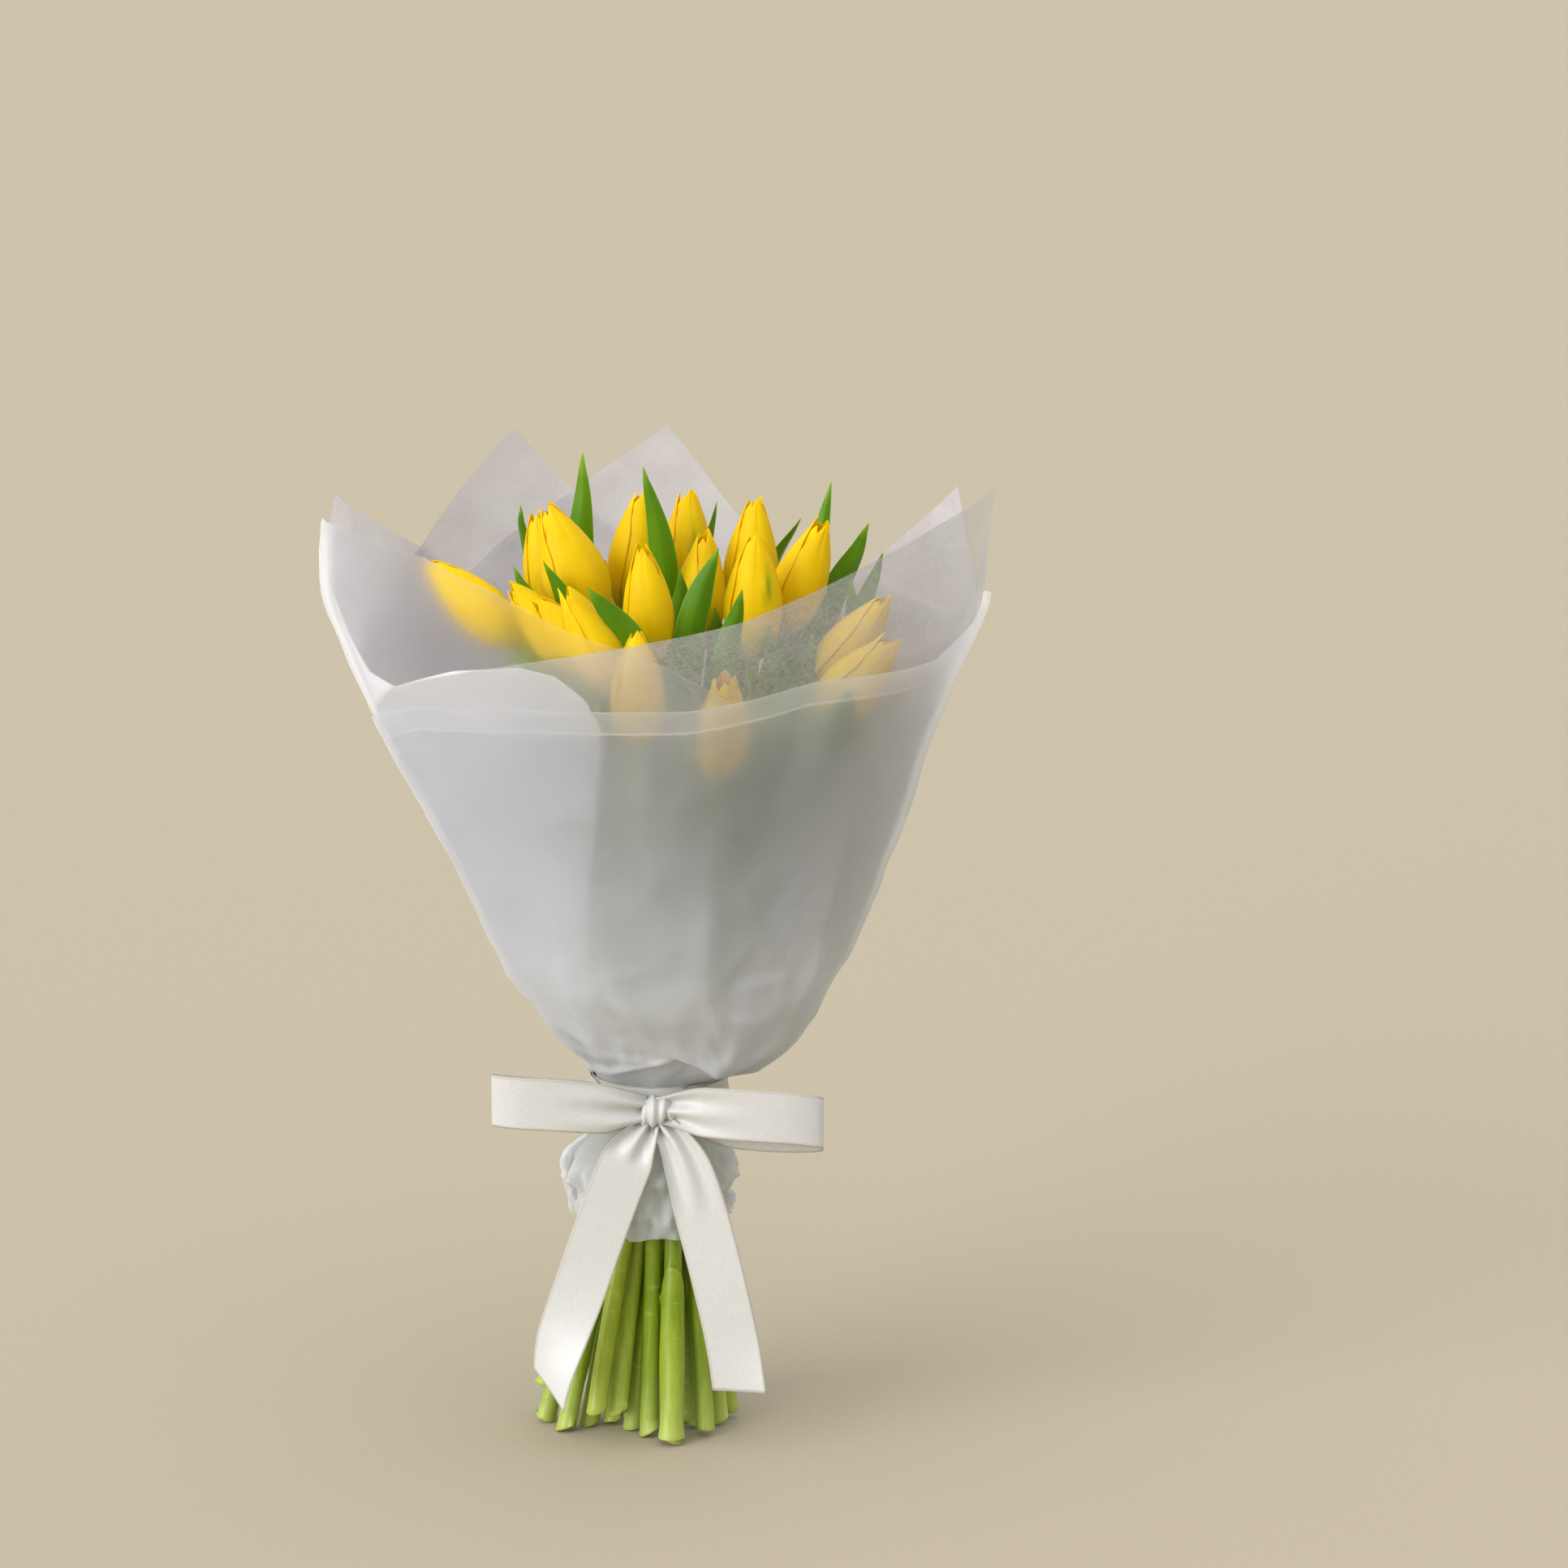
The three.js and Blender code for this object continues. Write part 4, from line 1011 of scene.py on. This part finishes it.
# Radius of the sheets under the ribbon, and how far the fold over it springs out at its end.
NECK_REACH, SPRING = 31.2, 4.5


def wrap_radius(azimuth, height, layer):
    straight = along(WRAP_OUTLINE, height) if height > 188 else eased(WRAP_OUTLINE, height)
    round_over = (straight + along(WRAP_OUTLINE, height + 6) + along(WRAP_OUTLINE, height - 6)) / 3
    radius = (round_over if height > 190 else straight) * facet(azimuth, height)
    fold = along(COLLAR_HEIGHT, azimuth)
    if 150 < height < fold + 0.05:
        rise = clamp((height - 171.5) / max(1, fold - 171))
        radius = mix(NECK_REACH, along(COLLAR_REACH, azimuth) - SPRING, rise)
    else:
        if fold < height < 230:
            rise = 0.62 - 0.07 * ramp(196, 230, height)
            radius = max(radius, along(COLLAR_REACH, azimuth) + rise * (height - fold))
        radius += fold_height(azimuth, height)
    return (radius - wrap_inset(azimuth, height, layer) + pleat_depth(azimuth, height)
            + crumple(azimuth, height) + wave(azimuth, height))


BLOOM_ROOM = bloom_room()


def wrap_point(azimuth, height, layer, depth=0.3):
    azimuth = (azimuth + 180) % 360 - 180
    radius = wrap_radius(azimuth, height, layer) - depth + room_at(azimuth, height)
    turn = math.radians(azimuth)
    ratio = eased(WRAP_DEPTH_RATIO, height)
    return Vector((eased(WRAP_SIDE_SHIFT, height) + radius * math.sin(turn),
                   -radius * ratio * math.cos(turn), height))


def even_steps(corners, step):
    """Values from the first corner to the last, about step apart, that take in every corner."""
    values = [corners[0]]
    for a, b in zip(corners, corners[1:]):
        count = max(1, round((b - a) / step))
        values += [mix(a, b, k / count) for k in range(1, count + 1)]
    return values


# Sheets that end under the ribbon. The others go on to the hem below it.
SHORT_SHEETS = ("tissue_front", "tissue_wing_left")
# The left wing's sheet runs on inside the front. Past this azimuth it is folded double and given a
# whiter tissue, partly for the doubled layer and partly as painted light on the lit front left. Its
# far edge slants back by these degrees low down, and it curls in by these millimetres near that edge.
WING = "tissue_wing_left"
DOUBLED_AND_LIT_FROM, WING_FALL, WING_CURL = 285, 20, 10
# A sheet's columns are about 2 degrees apart and its rows 2.6 mm, up to 300 mm. From there 24 rows
# spread up to its top edge. Six rows lie in the crushed hem.
COLUMN_STEP, ROW_STEP, TOP_FROM, TOP_ROWS, HEM_ROWS = 2.0, 2.6, 300, 24, 6
ROW_CORNERS = (HEM, 128, 147, 150, 172, 172.8, 188, 224, TOP_FROM)
# The materials of each sheet; a sheet not listed is heavy tissue.
SHEET_MATERIALS = {"film_front": [FILM_FOLDED], "film_left": [FILM_SINGLE], "tissue_front": [OPEN_TISSUE],
                   WING: [HEAVY_TISSUE, DOUBLED_AND_LIT_TISSUE]}


def hem_line(azimuth):
    """How far the hem ends above its level: in waves, and lowest in front."""
    front = max(0, math.cos(math.radians(azimuth - 10)))
    return 1.6 * math.sin(math.radians(azimuth * 5 + 40)) - 1.0 - 3.4 * front ** 3


def sheet(name):
    layer, edge = SHEET_EDGES[name]
    azimuths = even_steps([corner[0] for corner in edge], COLUMN_STEP)
    low = 150 if name in SHORT_SHEETS else HEM
    heights = even_steps([height for height in ROW_CORNERS if height >= low], ROW_STEP)
    low_rows = len(heights) - 1
    rows = low_rows + TOP_ROWS
    columns = len(azimuths) - 1

    def place(u, v):
        azimuth = azimuths[round(u * columns)]
        row = round(v * rows)
        turned = (azimuth + 180) % 360 - 180
        height = (collar_row(turned, heights[row]) if row <= low_rows
                  else mix(TOP_FROM, along(edge, azimuth), (row - low_rows) / TOP_ROWS))
        curl = 0
        if name == WING:
            azimuth -= WING_FALL * u ** 5 * (1 - ramp(225, 372, height))
            curl = WING_CURL * ramp(312, 346, azimuth) * ramp(205, 240, height) * (1 - ramp(345, 376, height))
        point = wrap_point(azimuth, height, layer, 0.3 + curl)
        if row < HEM_ROWS and low == HEM:
            point.z += (1 - row / HEM_ROWS) * hem_line(azimuth)
        return point

    shape = new_shape()
    below_edge = shape.verts.layers.float.new("below_edge")
    _, faces = lay_grid(shape, columns, rows, place)
    uv = shape.loops.layers.uv["UVMap"]
    for face in faces:
        for loop in face.loops:
            column, row = round(loop[uv].uv.x * columns), round(loop[uv].uv.y * rows)
            azimuth, top, height = azimuths[column], along(edge, azimuths[column]), loop.vert.co.z
            loop.vert[below_edge] = ((rows - row) / TOP_ROWS * (top - TOP_FROM) if row > low_rows
                                     else top - height)
            loop[uv].uv = (azimuth * 2.1 * MM, height * MM)
            # Past this azimuth the sheet takes the whiter tissue, partly painted light.
            if name == WING and azimuth > DOUBLED_AND_LIT_FROM:
                face.material_index = 1
    piece = finish(shape, f"fine_{name}", SHEET_MATERIALS.get(name, [HEAVY_TISSUE]),
                   name)


# ---- the ribbon ----
RIBBON_WIDTH = 25
RIBBON_THICKNESS = 0.25
RIBBON_PLEATS = 2
# Stations are x, y, z and the part of the ribbon's width that lies open there.
LOOP_LEFT = ((-4, -39, 163, 0.48), (-12, -43, 164, 0.68), (-26, -48, 165.5, 0.96), (-48, -51, 168, 1),
             (-68, -50, 169, 1), (-77, -45.5, 169, 1), (-76, -41, 168, 1), (-60, -37.5, 166, 1),
             (-36, -36.5, 164, 1), (-18, -37, 163, 0.72), (-5, -37.2, 162, 0.48))
LOOP_RIGHT = ((0, -39, 163, 0.48), (9, -43, 164, 0.68), (22, -48, 164, 0.96), (44, -51, 163, 1),
              (66, -50, 161, 1), (77, -45.5, 158, 1), (76, -41, 155.5, 1), (60, -37.5, 154, 1),
              (36, -36.5, 155.5, 1), (16, -37, 159, 0.72), (1, -37.2, 162, 0.48))
TAIL_LEFT = ((-4, -38.5, 157, 0.4), (-9, -43, 149, 0.72), (-15, -46, 138, 1), (-25, -48, 112, 1),
             (-37, -51, 78, 1), (-46, -54, 53, 1), (-49.5, -56, 39, 1), (-52, -57.5, 24, 1))
TAIL_RIGHT = ((1, -38.5, 157, 0.4), (8, -43, 149, 0.64), (14, -46, 137, 0.88), (21, -48, 112, 1),
              (29, -51, 80, 1), (35, -53, 52, 1), (38.5, -55, 28, 1))
KNOT = Vector((-1.5, -38.6, 162))


def ribbon_run(shape, stations, hangs, rows, cut=0, curl=0, twist=0):
    """A run of ribbon along its stations, pleated where less than its whole width lies open."""
    points = [Vector(station[:3]) for station in stations]
    opens = [(k / (len(stations) - 1), station[3]) for k, station in enumerate(stations)]

    def line(at):
        return spline(points, at)

    def place(u, v):
        v *= 1 - cut * (1 - u) * ramp(0.6, 1, v)
        course = tangent(line, v)
        side = Vector((-course.z, 0, course.x)).normalized() if hangs else Vector((0, 0, 1))
        side = Matrix.Rotation(math.radians(twist) * ramp(0.45, 1, v), 3, course) @ side
        face = course.cross(side).normalized()
        part = clamp(eased(opens, v), 0.2, 1)
        deep = 0.95 * RIBBON_WIDTH * math.sqrt(1 - part * part) / (4 * RIBBON_PLEATS)
        fold = deep * math.cos(2 * math.pi * RIBBON_PLEATS * u + 0.6) * (1 - 0.15 * u)
        fold += curl * ramp(0.8, 1, v) * u ** 2
        return line(v) + side * ((u - 0.5) * RIBBON_WIDTH * part) + face * fold

    length = sum((line((k + 1) / rows) - line(k / rows)).length for k in range(rows))
    lengthen_uv(shape, lay_grid(shape, 22, rows, place)[1], length / RIBBON_WIDTH)


def knot(shape):
    """The ribbon's crossing: a tight wrap bulging between the folds that run down it."""
    def wrapped(middle, wide, deep, tall, folds, lean):
        def place(u, v):
            across = 2 * u - 1
            turn = 2 * math.pi * v
            close = (1 - abs(across) ** 3) ** 0.5
            rib = 1 + 0.12 * math.cos(folds * math.pi * across + 1.5 * math.sin(turn) + 0.8) * close
            return KNOT + Vector((middle + wide * across + lean * math.sin(turn) * (1 + 0.3 * across),
                                  -deep * rib * (0.3 + 0.7 * close) * math.cos(turn),
                                  tall * (0.62 + 0.38 * close) * rib * math.sin(turn)))

        bmesh.ops.remove_doubles(shape, verts=lay_grid(shape, 32, 40, place)[0], dist=0.02)

    wrapped(0, 6.3, 6.4, 6.9, 2.5, 1.4)
    wrapped(7.2, 2.6, 4.6, 4.6, 1.6, -0.9)


def bow():
    shape = new_shape()
    ribbon_run(shape, LOOP_LEFT, False, rows=90)
    ribbon_run(shape, LOOP_RIGHT, False, rows=90)
    ribbon_run(shape, TAIL_LEFT, True, rows=70, cut=0.14, twist=50)
    ribbon_run(shape, TAIL_RIGHT, True, rows=70, cut=0.03, curl=3)
    knot(shape)
    piece = finish(shape, "fine_ribbon_bow", [SATIN], "ribbon_bow", wall=RIBBON_THICKNESS)


def neck_band():
    """Two turns of ribbon round the neck, creased, drawn down towards the knot."""
    shape = new_shape()

    def turn_of(rise, dip, wide, radius):
        def place(u, v):
            front = bump_at(0, 62, (360 * v + 190) % 360 - 180) if dip else 0
            height = NECK_HEIGHT + rise - dip * front + (u - 0.5) * wide * (1 - 0.3 * front)
            return outward(360 * v, radius + 0.35 * math.cos(math.pi * (5 * u + 6 * v)), height)

        corners, faces = lay_grid(shape, 14, 96, place)
        bmesh.ops.remove_doubles(shape, verts=corners, dist=0.01)
        lengthen_uv(shape, faces, 2 * math.pi * radius / RIBBON_WIDTH)

    turn_of(0.5, 0, 22, 31.75)
    turn_of(3.5, 8.5, 15, 32.6)
    piece = finish(shape, "fine_ribbon_band", [SATIN], "ribbon_band", wall=RIBBON_THICKNESS)


# ---- build ----
for tulip in tulips:
    bloom(tulip)
    leafy_stem(tulip)
tie_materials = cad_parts["stem_tie"].data.materials
tie_materials.clear()
tie_materials.append(rubber_material())
for sheet_name in SHEET_EDGES:
    sheet(sheet_name)
neck_band()
bow()


# ---- stage, lights and camera ----
floor = bmesh.new()
bmesh.ops.create_grid(floor, x_segments=2, y_segments=2, size=30)
meshed(floor, "studio_floor", [backdrop_material()])

# Broad distant lights: azimuth, angle above the ground, strength and spread.
for name, azimuth, rise, strength, spread in (("soft_key", -50, 17, 2.55, 50),
                                              ("soft_top", -20, 76, 0.85, 60),
                                              ("soft_back", 150, 50, 0.3, 60)):
    light = bpy.data.lights.new(name, "SUN")
    light.energy, light.angle = strength, math.radians(spread)
    source = outward(azimuth, math.cos(math.radians(rise)), math.sin(math.radians(rise)))
    item = put_in(name, light)
    item.rotation_euler = source.to_track_quat("Z", "Y").to_euler()
    item.location = source * 2

# The studio's own light: white from above, the walls' beige towards the horizon.
studio = bpy.context.scene
studio.world = bpy.data.worlds.new("studio")
studio.world.use_nodes = True
sky = studio.world.node_tree
sky.nodes.clear()
up = add_node(sky, "SeparateXYZ", {0: add_node(sky, "TexCoord").outputs["Generated"]}).outputs["Z"]
up = add_node(sky, "ValToRGB", {0: up}, ((0.05, "#CDC6B8"), (0.4, "#F4F7FC")))
add_node(sky, "OutputWorld", {"Surface": add_node(sky, "Background", {"Color": up, "Strength": 0.95})})
studio.cycles.diffuse_bounces = 8
studio.cycles.transparent_max_bounces = 16
studio.view_settings.view_transform = "Standard"

CAMERA_DISTANCE, CAMERA_ELEVATION, CAMERA_FOCAL_PIXELS, FRAME_PIXELS = 3040, 12.5, 8000, 1932
AIM = Vector((59, 0, 310))
tilt = math.radians(CAMERA_ELEVATION)
lens = bpy.data.cameras.new("camera")
lens.sensor_width = 36
lens.lens = CAMERA_FOCAL_PIXELS / FRAME_PIXELS * 36
lens.clip_end = 50
camera = put_in("camera", lens)
camera.location = metres(AIM + Vector((0, -math.cos(tilt), math.sin(tilt))) * CAMERA_DISTANCE)
camera.rotation_euler = (math.pi / 2 - tilt, 0, 0)
studio.camera = camera

bpy.context.view_layer.update()
